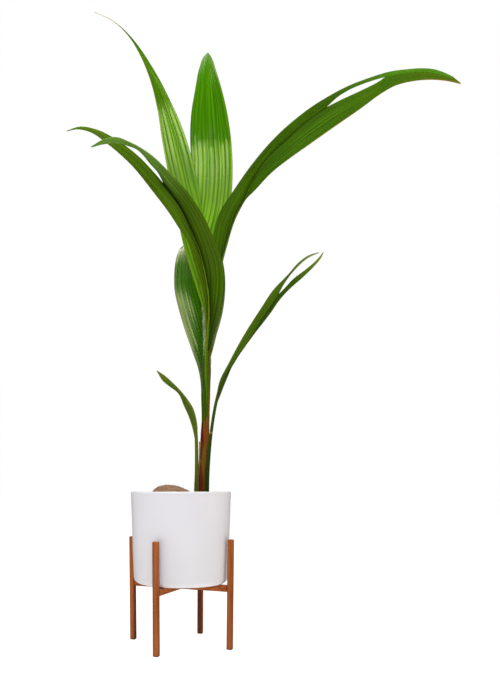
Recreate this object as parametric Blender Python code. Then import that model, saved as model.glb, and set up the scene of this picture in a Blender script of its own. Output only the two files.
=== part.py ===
"""Young coconut palm in a white glazed pot on a four-legged wooden stand.

Metres, +Z up. The pot's axis is the modelling axis; at the end the whole plant is carried so that the
middle of its outer box stands over the origin, with the feet of the stand at Z = 0.

The leaves are laid out as a maker lofts a blade. Each has a midrib, two outer margins and, past the
cleft, the inner edge of each lobe. These lines are drawn in millimetres on an upright sheet through the
pot's axis, as seen by an eye level with the pot's rim, and each point is then carried along the eye's
line to its real depth. A margin's depth follows from the true half width of the blade there.
"""
import math

import bmesh
import bpy
import numpy as np
from mathutils import Matrix, Vector

MM = 0.001
GAP = 0.3 * MM

# The eye that the leaf lines are drawn for
EYE_HEIGHT = 390.0
EYE_DISTANCE = 1630.0

# Pot
RIM_HEIGHT = 0.3885
RIM_RADIUS = 0.127
BASE_RADIUS = 0.1195
POT_WALL = 0.008
POT_FLOOR = 0.011
POT_HEEL = 0.016
POT_SEGMENTS = 48

# Stand
BAR_TOP = 0.158
BAR_DEPTH = 0.016
BAR_WIDTH = 0.016
BAR_ROUND = 0.0012
CUT_BEYOND = 0.01
LEG_HEIGHT = 0.271
LEG_SIDE = 0.0138
LEG_ROUND = 0.0022
LEG_SPREAD = 0.1345
LEG_LEAN = 0.003
STAND_TURN = math.radians(-24.3)
STAND_SHIFT = -0.0025

# Soil and nut
SOIL_TOP = 0.372
NUT_CENTRE = Vector((-0.024, 0.0, 0.342))
NUT_LEFT = 0.067
NUT_RIGHT = 0.074
NUT_DEEP = 0.071
NUT_HIGH = 0.066
NUT_RIDGE = 0.015
NUT_SEGMENTS = 26
NUT_RINGS = 16
SEAT_GAP = 1.4 * GAP

# Leaf blades
ROWS = 34
COLUMNS = 5
BLADE_THICKNESS = 0.0066
MARGIN_SHARE = 0.36
CAMBER = 0.05
FOOT_GAP = 0.55 * MM

# Samples along each span of a smooth line, and the straight run, in mm, of a petiole into its blade
SPAN_STEPS = 12
PETIOLE_RUN = 12.0

# Stem foot to leaf feet: (x, depth, z, radius) in mm
SHEATH = [(54.0, 0.0, 372.4, 12.6), (54.0, 0.0, 384.0, 12.4), (55.6, 0.0, 420.0, 11.9),
          (58.0, 0.0, 470.0, 11.2), (60.6, 0.0, 525.0, 10.6), (62.4, 0.0, 560.0, 10.0),
          (62.4, 0.0, 570.6, 9.9)]
PETIOLES = {
    "petiole_left_arching": [(62.9, -4.6, 571.1, 5.0), (62.9, -4.6, 580.0, 5.0), (64.2, -8.6, 680.0, 4.6)],
    "petiole_upright": [(62.8, 8.2, 571.1, 3.7), (62.8, 8.2, 580.0, 3.7), (64.8, 10.6, 710.0, 3.5)],
    "petiole_right_arching": [(68.9, 2.2, 571.1, 3.7), (68.9, 2.2, 580.0, 3.7), (72.2, 1.2, 740.0, 3.6)],
    "petiole_back": [(56.6, 2.2, 571.1, 3.7), (56.6, 2.2, 580.0, 3.7)],
    "petiole_small": [(37.8, -7.2, 383.5, 4.6), (37.9, -7.2, 392.0, 4.4), (39.6, -7.4, 430.0, 3.9),
                      (40.0, -7.6, 482.0, 3.5)],
    "petiole_low": [(66.4, -13.6, 372.4, 4.9), (66.4, -13.6, 382.0, 4.8), (67.6, -14.2, 435.0, 4.3),
                    (71.6, -14.6, 490.0, 3.5), (77.4, -15.0, 545.0, 3.3)],
}

# Leaf lines: rib and inner edges as (x, z, depth), margins as (x, z), all in mm on the upright sheet.
# half_width is the blade's true half width in mm at even steps from foot to tip. side is 1 where the
# margin lies beyond the rib and -1 where it lies before it.
LEAVES = {
    "leaf_upright": {
        "petiole": "petiole_upright",
        "rib": [(66, 800, 18), (64, 851, 19), (62, 902, 21), (61, 966, 24), (58, 1029, 29)],
        "lobes": [
            {
                "inner": [(52, 1103, 32), (41, 1182, 38), (22, 1261, 46), (-2, 1330, 54), (-28, 1386, 62),
                          (-53, 1436, 70), (-79, 1480, 76), (-104, 1518, 82), (-130, 1550, 86),
                          (-153, 1573, 90), (-175, 1590, 92), (-219, 1610, 96)],
                "margin": [(63, 800), (60, 846), (49, 876), (33, 927), (17, 978), (2, 1034), (-12, 1118),
                           (-30, 1202), (-46, 1284), (-60, 1373), (-79, 1439), (-104, 1500), (-130, 1544),
                           (-154, 1571), (-176, 1588), (-219, 1608)],
                "half_width": [4, 28, 52, 78, 88, 74, 44, 18, 5, 2.4, 2.2],
                "side": 1,
            },
            {
                "inner": [(47, 1118, 52), (32, 1195, 66), (24, 1271, 76), (26, 1348, 84), (36, 1411, 92),
                          (47, 1467, 102), (58, 1496, 108), (66, 1506, 110)],
                "margin": [(70, 800), (76, 851), (84, 915), (97, 983), (112, 1050), (126, 1118),
                           (132, 1202), (125, 1309), (111, 1386), (89, 1462), (77, 1496), (69, 1507)],
                "half_width": [4, 14, 28, 46, 68, 92, 104, 104, 86, 54, 2.4],
                "side": 1,
            },
        ],
    },
    "leaf_left_arching": {
        "petiole": "petiole_left_arching",
        "rib": [(65, 744, -12), (70, 805, -16), (72, 864, -20), (69, 902, -23), (61, 948, -29),
                (49, 999, -38), (23, 1065, -52), (-2, 1116, -64), (-23, 1146, -71), (-43, 1172, -76)],
        "lobes": [
            {
                "inner": [(-79, 1213, -66), (-104, 1239, -60), (-142, 1270, -52),
                          (-175, 1292, -44), (-216, 1311, -34), (-257, 1318, -24), (-290, 1308, -12)],
                "margin": [(62, 744), (66, 800), (63, 846), (54, 902), (32, 978), (16, 1029), (-2, 1055),
                           (-28, 1096), (-79, 1163), (-130, 1224), (-186, 1274), (-237, 1306),
                           (-267, 1311), (-291, 1306)],
                "half_width": [4, 14, 26, 38, 50, 60, 64, 60, 48, 30, 2.4],
                "side": 1,
            },
            {
                "inner": [(-60, 1203, -82), (-79, 1224, -90), (-94, 1243, -96), (-109, 1258, -102),
                          (-135, 1269, -110), (-168, 1275, -120), (-198, 1273, -128), (-228, 1265, -136)],
                "margin": [(68, 744), (84, 787), (97, 838), (106, 889), (109, 933), (105, 973), (87, 1022),
                           (61, 1083), (23, 1144), (-33, 1205), (-79, 1248), (-130, 1279), (-168, 1292),
                           (-196, 1286), (-229, 1267)],
                "half_width": [4, 20, 38, 54, 64, 70, 68, 60, 46, 28, 2.4],
                "side": -1,
            },
        ],
    },
    "leaf_right_arching": {
        "petiole": "petiole_right_arching",
        "rib": [(79, 831, 0), (91, 902, 3), (105, 973, 8), (121, 1032, 14), (141, 1095, 20),
                (159, 1129, 24), (188, 1190, 30), (226, 1243, 34), (277, 1294, 36), (324, 1335, 36),
                (370, 1367, 34)],
        "lobes": [
            {
                "inner": [(402, 1396, 30), (431, 1414, 26), (459, 1426, 22), (501, 1440, 18),
                          (545, 1450, 14), (589, 1456, 10), (634, 1456, 6), (668, 1449, 4), (692, 1441, 2)],
                "margin": [(76, 831), (73, 889), (75, 973), (82, 1042), (100, 1101), (131, 1150),
                           (176, 1216), (226, 1275), (278, 1326), (329, 1366), (380, 1397), (430, 1423),
                           (481, 1443), (532, 1458), (583, 1464), (609, 1466), (650, 1463), (680, 1452),
                           (696, 1444)],
                "half_width": [4, 18, 38, 58, 72, 80, 80, 68, 50, 32, 2.6],
                "side": -1,
            },
            {
                "inner": [(405, 1385, 38), (459, 1410, 42), (501, 1431, 44), (535, 1446, 45),
                          (571, 1453, 44), (622, 1453, 42), (668, 1444, 40), (693, 1438, 39),
                          (712, 1429, 38)],
                "margin": [(82, 831), (88, 897), (100, 968), (116, 1027), (136, 1086), (159, 1128),
                           (184, 1152), (226, 1196), (278, 1238), (330, 1275), (392, 1319), (456, 1367),
                           (507, 1404), (545, 1423), (585, 1435), (630, 1438), (673, 1435), (713, 1426)],
                "half_width": [4, 18, 38, 58, 74, 82, 82, 74, 58, 36, 3],
                "side": 1,
            },
        ],
    },
    "leaf_back": {
        "petiole": "petiole_back",
        "rib": [(55, 642, 8), (55, 656, 11), (56, 672, 18), (56, 698, 31), (56, 762, 50), (54, 826, 67),
                (50, 889, 90), (49, 953, 115), (49, 1004, 138), (51, 1030, 154), (51, 1026, 180),
                (51, 1000, 212), (51, 968, 242)],
        "lobes": [
            {
                "inner": [(41, 925, 268), (30, 880, 292), (20, 836, 312)],
                "margin": [(52, 642, 8), (50, 668, 16), (45, 698, 28), (28, 749, 38), (10, 800, 50),
                           (-5, 851, 66), (-15, 902, 84), (-16, 940, 99), (-11, 975, 114),
                           (-2, 1000, 132), (8, 1008, 150), (12, 996, 178), (10, 955, 222),
                           (8, 905, 258), (10, 865, 287), (18, 834, 313)],
            },
            {
                "inner": [(62, 925, 268), (74, 885, 290), (84, 845, 308)],
                "margin": [(58, 642, 8), (59, 664, 18), (65, 698, 34), (79, 741, 42), (91, 787, 51),
                           (105, 838, 68), (112, 889, 86), (112, 940, 107), (106, 978, 127),
                           (96, 1000, 147), (91, 1000, 166), (90, 985, 190), (94, 950, 226),
                           (97, 905, 258), (94, 870, 284), (86, 843, 309)],
            },
        ],
    },
    "leaf_small": {
        "petiole": "petiole_small",
        "rib": [(39, 520, -8), (36, 556, -10), (26, 590, -12), (13, 615, -14), (-1, 638, -16),
                (-20, 657, -18), (-42, 677, -20), (-61, 696, -22)],
        "lobes": [
            {
                "margin": [(36, 520), (31, 550), (22, 581), (11, 608), (-5, 642), (-28, 660), (-46, 674),
                           (-61, 695)],
                "half_width": [3, 8, 12, 15, 16, 16, 15, 12, 9, 5, 1.6],
                "side": 1,
            },
            {
                "margin": [(41, 520), (41, 550), (37, 576), (30, 599), (15, 623), (-4, 647), (-25, 667),
                           (-43, 683), (-61, 697)],
                "half_width": [3, 8, 12, 15, 16, 16, 15, 12, 9, 5, 1.6],
                "side": -1,
            },
        ],
    },
    "leaf_low": {
        "petiole": "petiole_low",
        "rib": [(93, 629, -16), (98, 650, -17), (106, 671, -18), (142, 730, -22), (175, 778, -26),
                (205, 828, -30), (229, 862, -33), (248, 890, -36)],
        "lobes": [
            {
                "inner": [(261, 915, -42), (277, 938, -48), (297, 961, -54), (324, 984, -60),
                          (350, 996, -66)],
                "margin": [(90, 629), (98, 668), (123, 717), (167, 798), (207, 860), (235, 901), (272, 940),
                           (303, 975), (327, 991), (351, 998)],
                "half_width": [4, 12, 22, 30, 36, 38, 34, 26, 17, 10, 2],
                "side": -1,
            },
            {
                "inner": [(264, 906, -34), (285, 929, -31), (316, 953, -28), (344, 977, -26),
                          (362, 998, -24)],
                "margin": [(96, 629), (110, 668), (149, 739), (175, 778), (201, 813), (227, 846),
                           (252, 877), (277, 905), (311, 935), (340, 963), (358, 985), (364, 998)],
                "half_width": [4, 12, 22, 30, 34, 34, 30, 24, 16, 10, 2],
                "side": 1,
            },
        ],
    },
}


def clear_scene():
    """Remove every object that the scene holds."""
    for thing in list(bpy.data.objects):
        bpy.data.objects.remove(thing, do_unlink=True)


def material(name, colour, roughness, metallic=0.0):
    """A Principled material with the given linear colour."""
    made = bpy.data.materials.new(name)
    made.use_nodes = True
    shader = made.node_tree.nodes["Principled BSDF"]
    shader.inputs["Base Color"].default_value = (*colour, 1.0)
    shader.inputs["Roughness"].default_value = roughness
    shader.inputs["Metallic"].default_value = metallic
    return made


def add_object(name, mesh, mat, holder):
    """Link a mesh as a named object under the holder."""
    thing = bpy.data.objects.new(name, mesh)
    bpy.context.collection.objects.link(thing)
    thing.parent = holder
    if mat is not None:
        mesh.materials.append(mat)
    return thing


def mesh_from(name, build):
    """A mesh filled by a function that is given an empty bmesh."""
    bm = bmesh.new()
    build(bm)
    mesh = bpy.data.meshes.new(name)
    bm.to_mesh(mesh)
    bm.free()
    return mesh


def smooth(mesh, sharp=math.radians(40)):
    """Shade a mesh smooth, with its sharp edges kept."""
    mesh.shade_smooth()
    mesh.set_sharp_from_angle(angle=sharp)


# Pot, soil and nut

def arc(cx, cz, radius, start, end, steps):
    """Points of an arc in the profile plane, angles in degrees."""
    turns = np.radians(np.linspace(start, end, steps + 1))
    return [(cx + radius * math.cos(t), cz + radius * math.sin(t)) for t in turns]


def wall_radius(z, inset=0.0):
    """Outer radius of the drafted pot wall at a height, less an inset."""
    share = (z - BAR_TOP) / (RIM_HEIGHT - BAR_TOP)
    return BASE_RADIUS + (RIM_RADIUS - BASE_RADIUS) * share - inset


def turned(name, profile, mat, holder, segments=POT_SEGMENTS):
    """A closed solid turned about Z from a profile that starts and ends on the axis."""
    def build(bm):
        verts = [bm.verts.new((x, 0.0, z)) for x, z in profile]
        edges = [bm.edges.new(pair) for pair in zip(verts, verts[1:])]
        bmesh.ops.spin(bm, geom=verts + edges, cent=(0, 0, 0), axis=(0, 0, 1), angle=math.tau,
                       steps=segments, use_merge=True, use_duplicate=False)
        bmesh.ops.remove_doubles(bm, verts=bm.verts, dist=1e-6)
        bmesh.ops.recalc_face_normals(bm, faces=bm.faces)
    mesh = mesh_from(name, build)
    smooth(mesh)
    return add_object(name, mesh, mat, holder)


def make_pot(mat, holder):
    """The drafted pot, with a rounded heel and a softened rim."""
    low = BAR_TOP + GAP
    inner_heel = POT_HEEL - 0.5 * POT_WALL
    floor = low + POT_FLOOR
    heel_x = wall_radius(low + POT_HEEL) - POT_HEEL
    inner_x = wall_radius(floor + inner_heel, POT_WALL) - inner_heel
    rim = POT_WALL / 2
    profile = [(0.0, low)]
    profile += arc(heel_x, low + POT_HEEL, POT_HEEL, -90, 0, 5)
    profile += arc(wall_radius(RIM_HEIGHT) - rim, RIM_HEIGHT - rim, rim, 0, 180, 6)
    profile += arc(inner_x, floor + inner_heel, inner_heel, 0, -90, 4)
    profile.append((0.0, floor))
    return turned("pot", profile, mat, holder)


def nut_mesh(name, grow):
    """An ovoid husk lying along X, pointed towards the stem, with three soft ridges."""
    def build(bm):
        bmesh.ops.create_uvsphere(bm, u_segments=NUT_SEGMENTS, v_segments=NUT_RINGS, radius=1.0,
                                  matrix=Matrix.Rotation(math.radians(90), 4, "Y"))
        for vert in bm.verts:
            x, y, z = vert.co
            ridge = 1.0 + NUT_RIDGE * math.cos(3 * math.atan2(z, y) - math.radians(90)) * (1 - x * x)
            length = (NUT_RIGHT if x > 0 else NUT_LEFT) + grow
            vert.co = (x * length, y * ridge * (NUT_DEEP + grow), z * ridge * (NUT_HIGH + grow))
            vert.co += NUT_CENTRE
        bmesh.ops.recalc_face_normals(bm, faces=bm.faces)
    mesh = mesh_from(name, build)
    smooth(mesh)
    return mesh


def make_soil(mat, holder):
    """The potting soil, hollowed where the nut lies in it."""
    low = BAR_TOP + GAP + POT_FLOOR + GAP
    heel = POT_HEEL - 0.5 * POT_WALL
    inset = POT_WALL + GAP
    profile = [(0.0, low)]
    profile += arc(wall_radius(low + heel, inset) - heel, low + heel, heel, -90, 0, 4)
    profile += [(wall_radius(SOIL_TOP, inset), SOIL_TOP), (0.0, SOIL_TOP)]
    soil = turned("potting_soil", profile, mat, holder)
    cutter = add_object("nut_seat", nut_mesh("nut_seat", SEAT_GAP), None, holder)
    cutter.hide_render = True
    cutter.display_type = "WIRE"
    cut = soil.modifiers.new("seat", "BOOLEAN")
    cut.operation = "DIFFERENCE"
    cut.solver = "EXACT"
    cut.object = cutter
    return soil


# Stand

def box_mesh(name, low, high, bevel, segments=2):
    """A box between two corners, with rounded edges."""
    def build(bm):
        bmesh.ops.create_cube(bm, size=1.0)
        size = [b - a for a, b in zip(low, high)]
        centre = [(a + b) / 2 for a, b in zip(low, high)]
        for vert in bm.verts:
            vert.co = Vector([c + s * v for c, s, v in zip(centre, size, vert.co)])
        if bevel > 0:
            bmesh.ops.bevel(bm, geom=bm.edges, offset=bevel, segments=segments, affect="EDGES", profile=0.5)
        bmesh.ops.recalc_face_normals(bm, faces=bm.faces)
    mesh = mesh_from(name, build)
    smooth(mesh)
    return mesh


def make_leg(index, mat, holder):
    """One square leg, whose head stands a little further out than its foot."""
    half = LEG_SIDE / 2
    low = (LEG_SPREAD - half, -half, 0.0)
    high = (LEG_SPREAD + half, half, LEG_HEIGHT)
    mesh = box_mesh(f"stand_leg_{index + 1}", low, high, LEG_ROUND)
    for vert in mesh.vertices:
        vert.co.x += LEG_LEAN * vert.co.z / LEG_HEIGHT
    leg = add_object(f"stand_leg_{index + 1}", mesh, mat, holder)
    leg.location.x = STAND_SHIFT
    leg.rotation_euler.z = STAND_TURN + index * math.pi / 2
    return leg


def make_bar(index, mat, holder):
    """One crossbar, half lapped over the other at the middle."""
    lean = LEG_LEAN * (BAR_TOP - BAR_DEPTH) / LEG_HEIGHT
    reach = LEG_SPREAD - LEG_SIDE / 2 + lean - GAP
    half = BAR_WIDTH / 2
    low = BAR_TOP - BAR_DEPTH
    mesh = box_mesh(f"stand_bar_{index + 1}", (-reach, -half, low), (reach, half, BAR_TOP), BAR_ROUND, 1)
    bar = add_object(f"stand_bar_{index + 1}", mesh, mat, holder)
    bar.location.x = STAND_SHIFT
    bar.rotation_euler.z = STAND_TURN + index * math.pi / 2
    middle = low + BAR_DEPTH / 2
    if index == 0:
        notch_low, notch_high = middle - GAP / 2, BAR_TOP + CUT_BEYOND
    else:
        notch_low, notch_high = low - CUT_BEYOND, middle + GAP / 2
    across = half + GAP
    along = half + CUT_BEYOND
    notch_mesh = box_mesh("notch", (-across, -along, notch_low), (across, along, notch_high), 0)
    notch = add_object(f"bar_notch_{index + 1}", notch_mesh, None, holder)
    notch.location.x = STAND_SHIFT
    notch.rotation_euler.z = bar.rotation_euler.z
    notch.hide_render = True
    notch.display_type = "WIRE"
    cut = bar.modifiers.new("half_lap", "BOOLEAN")
    cut.operation = "DIFFERENCE"
    cut.solver = "EXACT"
    cut.object = notch
    return bar


# Lines and blades

def travelled_along(points, measured):
    """Length of the chain from its first point to each point, on the leading coordinates."""
    steps = np.diff(np.asarray(points, dtype=float)[:, :measured], axis=0)
    return np.concatenate([[0.0], np.cumsum(np.linalg.norm(steps, axis=1))])


def curve_through(points, fractions, measured=None):
    """Points at the given fractions of the length of a smooth curve through the given points.

    measured names how many leading coordinates count towards the length.
    """
    known = np.array(points, dtype=float)
    measured = measured or known.shape[1]
    knots = travelled_along(known, known.shape[1])
    slopes = np.gradient(known, knots, axis=0)
    fine = []
    for i in range(len(known) - 1):
        span = knots[i + 1] - knots[i]
        t = np.linspace(0.0, 1.0, SPAN_STEPS + 1)[:, None]
        fine.append((2 * t**3 - 3 * t**2 + 1) * known[i] + (t**3 - 2 * t**2 + t) * span * slopes[i]
                    + (3 * t**2 - 2 * t**3) * known[i + 1] + (t**3 - t**2) * span * slopes[i + 1])
    fine = np.concatenate([part[:-1] for part in fine] + [known[-1:]])
    travelled = travelled_along(fine, measured)
    wanted = np.asarray(fractions) * travelled[-1]
    return np.stack([np.interp(wanted, travelled, fine[:, k]) for k in range(fine.shape[1])], axis=1)


def carried(x, z, depth):
    """A point of the upright sheet carried along the eye's line to a depth, in mm."""
    scale = (EYE_DISTANCE + depth) / EYE_DISTANCE
    return np.array([x * scale, depth, EYE_HEIGHT + (z - EYE_HEIGHT) * scale])


def margin_point(x, z, rib, half_width, side):
    """Where the eye's line through a sheet point lies the true half width from the rib."""
    eye = np.array([0.0, -EYE_DISTANCE, EYE_HEIGHT])
    line = np.array([x, EYE_DISTANCE, z - EYE_HEIGHT])
    reach = line @ line
    along = line @ (rib - eye)
    spare = along**2 - reach * ((rib - eye) @ (rib - eye) - half_width**2)
    root = math.sqrt(max(spare, 0.0))
    return eye + line * (along + side * root) / reach


def square_to(tangent, rib, margin):
    """The margin point moved into the plane across the blade at its foot."""
    offset = margin - rib
    return rib + offset - tangent * (offset @ tangent)


def leaf_lines(leaf):
    """Rows of rib or inner points and margin points for each half, and the row of the cleft."""
    lobes = leaf["lobes"]
    divided = "inner" in lobes[0]
    measured = 2 if len(lobes[0]["margin"][0]) == 2 else 3
    rib_length = travelled_along(leaf["rib"], measured)[-1]
    lobe_length = 0.0
    if divided:
        lobe_length = sum(travelled_along([leaf["rib"][-1]] + lobe["inner"], measured)[-1]
                          for lobe in lobes) / len(lobes)
    cleft = round((ROWS - 1) * rib_length / (rib_length + lobe_length))
    rib = curve_through(leaf["rib"], np.linspace(0, 1, cleft + 1), measured)
    halves = []
    for lobe in lobes:
        inner = rib
        if divided:
            lobe_rows = curve_through([leaf["rib"][-1]] + lobe["inner"], np.linspace(0, 1, ROWS - cleft),
                                      measured)
            inner = np.concatenate([rib, lobe_rows[1:]])
        share = travelled_along(inner, measured)
        share /= share[-1]
        outer = curve_through(lobe["margin"], share, measured)
        inner_points = np.array([carried(x, z, depth) for x, z, depth in inner])
        if measured == 2:
            steps = np.linspace(0, 1, len(lobe["half_width"]))
            widths = np.interp(share, steps, lobe["half_width"])
            outer_points = np.array([margin_point(x, z, point, width, lobe["side"])
                                     for (x, z), point, width in zip(outer, inner_points, widths)])
        else:
            outer_points = np.array([carried(x, z, depth) for x, z, depth in outer])
        halves.append((inner_points, outer_points))
    tangent = halves[0][0][1] - halves[0][0][0]
    tangent /= np.linalg.norm(tangent)
    for inner_points, outer_points in halves:
        outer_points[0] = square_to(tangent, inner_points[0], outer_points[0])
    return halves, cleft, tangent


def blade_rows(inner, outer, flip):
    """Points across one half of a blade, from the inner edge to the margin, with a slight camber."""
    along = np.gradient(inner, axis=0)
    rows = []
    for start, end, way in zip(inner, outer, along):
        across = end - start
        normal = np.cross(way, across) * flip
        normal /= max(np.linalg.norm(normal), 1e-9)
        shares = np.linspace(0, 1, COLUMNS)
        lift = CAMBER * np.linalg.norm(across) * 4 * shares * (1 - shares)
        rows.append([start + across * v + normal * h for v, h in zip(shares, lift)])
    return rows


def make_leaf(name, leaf, mat, holder):
    """A thin blade with its midrib, two halves and the cleft between its lobes."""
    halves, cleft, tangent = leaf_lines(leaf)
    start = tangent * FOOT_GAP / MM
    grids = [blade_rows(inner + start, outer + start, flip)
             for (inner, outer), flip in zip(halves, (1, -1))]
    groups = {}

    def build(bm):
        layer = bm.verts.layers.deform.verify()
        placed = [[], []]
        for i in range(ROWS):
            for half in (0, 1):
                row = []
                for k, point in enumerate(grids[half][i]):
                    if half == 1 and k == 0 and i <= cleft:
                        row.append(placed[0][i][0])
                        continue
                    vert = bm.verts.new(Vector(point * MM))
                    shared_rib = 1.0 if i <= cleft else MARGIN_SHARE
                    vert[layer][0] = shared_rib + (MARGIN_SHARE - shared_rib) * k / (COLUMNS - 1)
                    row.append(vert)
                placed[half].append(row)
        for half, rows in enumerate(placed):
            for upper, lower in zip(rows[1:], rows):
                for k in range(COLUMNS - 1):
                    loop = [lower[k], lower[k + 1], upper[k + 1], upper[k]]
                    bm.faces.new(loop if half == 0 else loop[::-1])
    mesh = mesh_from(name, build)
    smooth(mesh)
    blade = add_object(name, mesh, mat, holder)
    blade.vertex_groups.new(name="stout")
    wall = blade.modifiers.new("thickness", "SOLIDIFY")
    wall.thickness = BLADE_THICKNESS
    wall.offset = 0.0
    wall.vertex_group = "stout"
    return halves[0][0][0] * MM, Vector(tangent)


def make_tube(name, points, mat, holder):
    """A tapering round limb along (x, y, z, radius) points in mm, with closed ends."""
    fine = curve_through(points, np.linspace(0, 1, 3 * len(points)), 3)
    curve = bpy.data.curves.new(name, "CURVE")
    curve.dimensions = "3D"
    curve.bevel_depth = 1.0
    curve.bevel_resolution = 3
    curve.use_fill_caps = True
    spline = curve.splines.new("POLY")
    spline.points.add(len(fine) - 1)
    for point, (x, y, z, radius) in zip(spline.points, fine):
        point.co = (x * MM, y * MM, z * MM, 1.0)
        point.radius = radius * MM
    curve.materials.append(mat)
    limb = bpy.data.objects.new(name, curve)
    bpy.context.collection.objects.link(limb)
    limb.parent = holder
    return limb


def make_petiole(name, points, foot, tangent, mat, holder):
    """A leaf stalk from its base to just short of the blade's foot."""
    end = Vector(foot) / MM
    before = end - tangent * PETIOLE_RUN
    radius = points[-1][3]
    path = list(points) + [(*before, radius * 0.98), (*end, radius * 0.96)]
    return make_tube(name, path, mat, holder)


def centre_over_origin(holder):
    """Move the holder so that the outer box's middle stands over the origin."""
    bpy.context.view_layer.update()
    graph = bpy.context.evaluated_depsgraph_get()
    low = Vector((math.inf, math.inf))
    high = -low
    for thing in bpy.data.objects:
        if thing.type not in {"MESH", "CURVE"} or thing.hide_render:
            continue
        shown = thing.evaluated_get(graph)
        mesh = shown.to_mesh()
        for vert in mesh.vertices:
            place = shown.matrix_world @ vert.co
            low = Vector((min(low.x, place.x), min(low.y, place.y)))
            high = Vector((max(high.x, place.x), max(high.y, place.y)))
        shown.to_mesh_clear()
    middle = (low + high) / 2
    holder.location = (-middle.x, -middle.y, 0.0)


def main():
    """Build the whole plant, its pot and its stand."""
    clear_scene()
    glaze = material("white_glaze", (0.76, 0.76, 0.78), 0.35)
    wood = material("oiled_hardwood", (0.33, 0.11, 0.035), 0.5)
    soil = material("potting_soil", (0.045, 0.03, 0.02), 0.95)
    husk = material("coconut_husk", (0.42, 0.24, 0.13), 0.9)
    fibre = material("fibrous_sheath", (0.17, 0.06, 0.015), 0.8)
    green = material("palm_leaf", (0.07, 0.19, 0.008), 0.4)
    stalk = material("palm_petiole", (0.08, 0.14, 0.01), 0.5)

    holder = bpy.data.objects.new("potted_palm", None)
    bpy.context.collection.objects.link(holder)
    make_pot(glaze, holder)
    make_soil(soil, holder)
    add_object("coconut", nut_mesh("coconut", 0.0), husk, holder)
    for index in range(4):
        make_leg(index, wood, holder)
    for index in range(2):
        make_bar(index, wood, holder)
    make_tube("stem_sheath", SHEATH, fibre, holder)
    for name, leaf in LEAVES.items():
        foot, tangent = make_leaf(name, leaf, green, holder)
        make_petiole(leaf["petiole"], PETIOLES[leaf["petiole"]], foot, tangent, stalk, holder)
    centre_over_origin(holder)


main()
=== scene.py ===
"""Young coconut palm in a white glazed pot on a hardwood stand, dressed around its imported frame.

Sizes are metres, apart from the leaf lines and limb paths, which are millimetres from the pot's axis.
A leaf's lines are drawn on an upright sheet through that axis, as seen by an eye level with the pot's
rim, and each point is carried along the eye's line to its real depth. A margin's depth follows from the
true half width of the blade there.
"""
import math

import bmesh
import bpy
import numpy as np
from bpy.props import FloatProperty, FloatVectorProperty, IntProperty, PointerProperty
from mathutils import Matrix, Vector, noise


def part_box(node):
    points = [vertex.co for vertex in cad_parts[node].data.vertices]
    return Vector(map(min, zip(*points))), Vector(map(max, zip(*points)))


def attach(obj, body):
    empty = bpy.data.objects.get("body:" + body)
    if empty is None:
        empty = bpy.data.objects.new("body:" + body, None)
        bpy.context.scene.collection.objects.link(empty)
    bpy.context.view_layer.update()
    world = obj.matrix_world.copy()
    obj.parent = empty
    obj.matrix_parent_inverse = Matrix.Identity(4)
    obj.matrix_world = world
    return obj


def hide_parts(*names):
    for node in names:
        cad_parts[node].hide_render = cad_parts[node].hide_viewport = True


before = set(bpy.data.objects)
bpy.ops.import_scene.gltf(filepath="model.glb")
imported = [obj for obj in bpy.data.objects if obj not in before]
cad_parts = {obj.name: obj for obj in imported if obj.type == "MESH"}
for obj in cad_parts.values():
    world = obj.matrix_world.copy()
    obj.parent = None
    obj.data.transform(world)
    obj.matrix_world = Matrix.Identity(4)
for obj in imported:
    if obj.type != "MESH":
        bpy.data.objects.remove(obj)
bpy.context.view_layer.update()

bl_info = {
    "name": "Potted young coconut palm",
    "version": (1, 0, 0),
    "blender": (4, 5, 0),
    "location": "3D View > Sidebar > Palm",
    "description": "Makes a young coconut palm with pleated blades, in a glazed pot on a wooden stand",
    "category": "Object",
}

MM = 0.001

# The pot's axis and rim, and the picture's eye
POT_LOW, POT_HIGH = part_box("pot")
AXIS = Vector(((POT_LOW.x + POT_HIGH.x) / 2, (POT_LOW.y + POT_HIGH.y) / 2, 0.0))
RIM_RADIUS = (POT_HIGH.x - POT_LOW.x) / 2
BASE_RADIUS = 0.1195
SOIL_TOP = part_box("potting_soil")[1].z
EYE_HEIGHT = 390.0
EYE_DISTANCE = 1630.0

# The picture's frame in pixels: its size, the eye line's foot in it, and its focal length
FRAME_WIDTH = 500
FRAME_HEIGHT = 700
EYE_LINE_X = 180.9
EYE_LINE_Y = 491.0
FOCAL_PIXELS = 640.0
SENSOR = 36.0

# Smooth lines and blades
SPAN_STEPS = 12
CAMBER = 0.05
FOOT_RUN = 34.0
FOOT_ROWS = 8
# How far past the cleft the mask of painted shade beside the rib is pushed off the lobes, in mm
RIB_SHADE_REACH = 30.0

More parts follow.
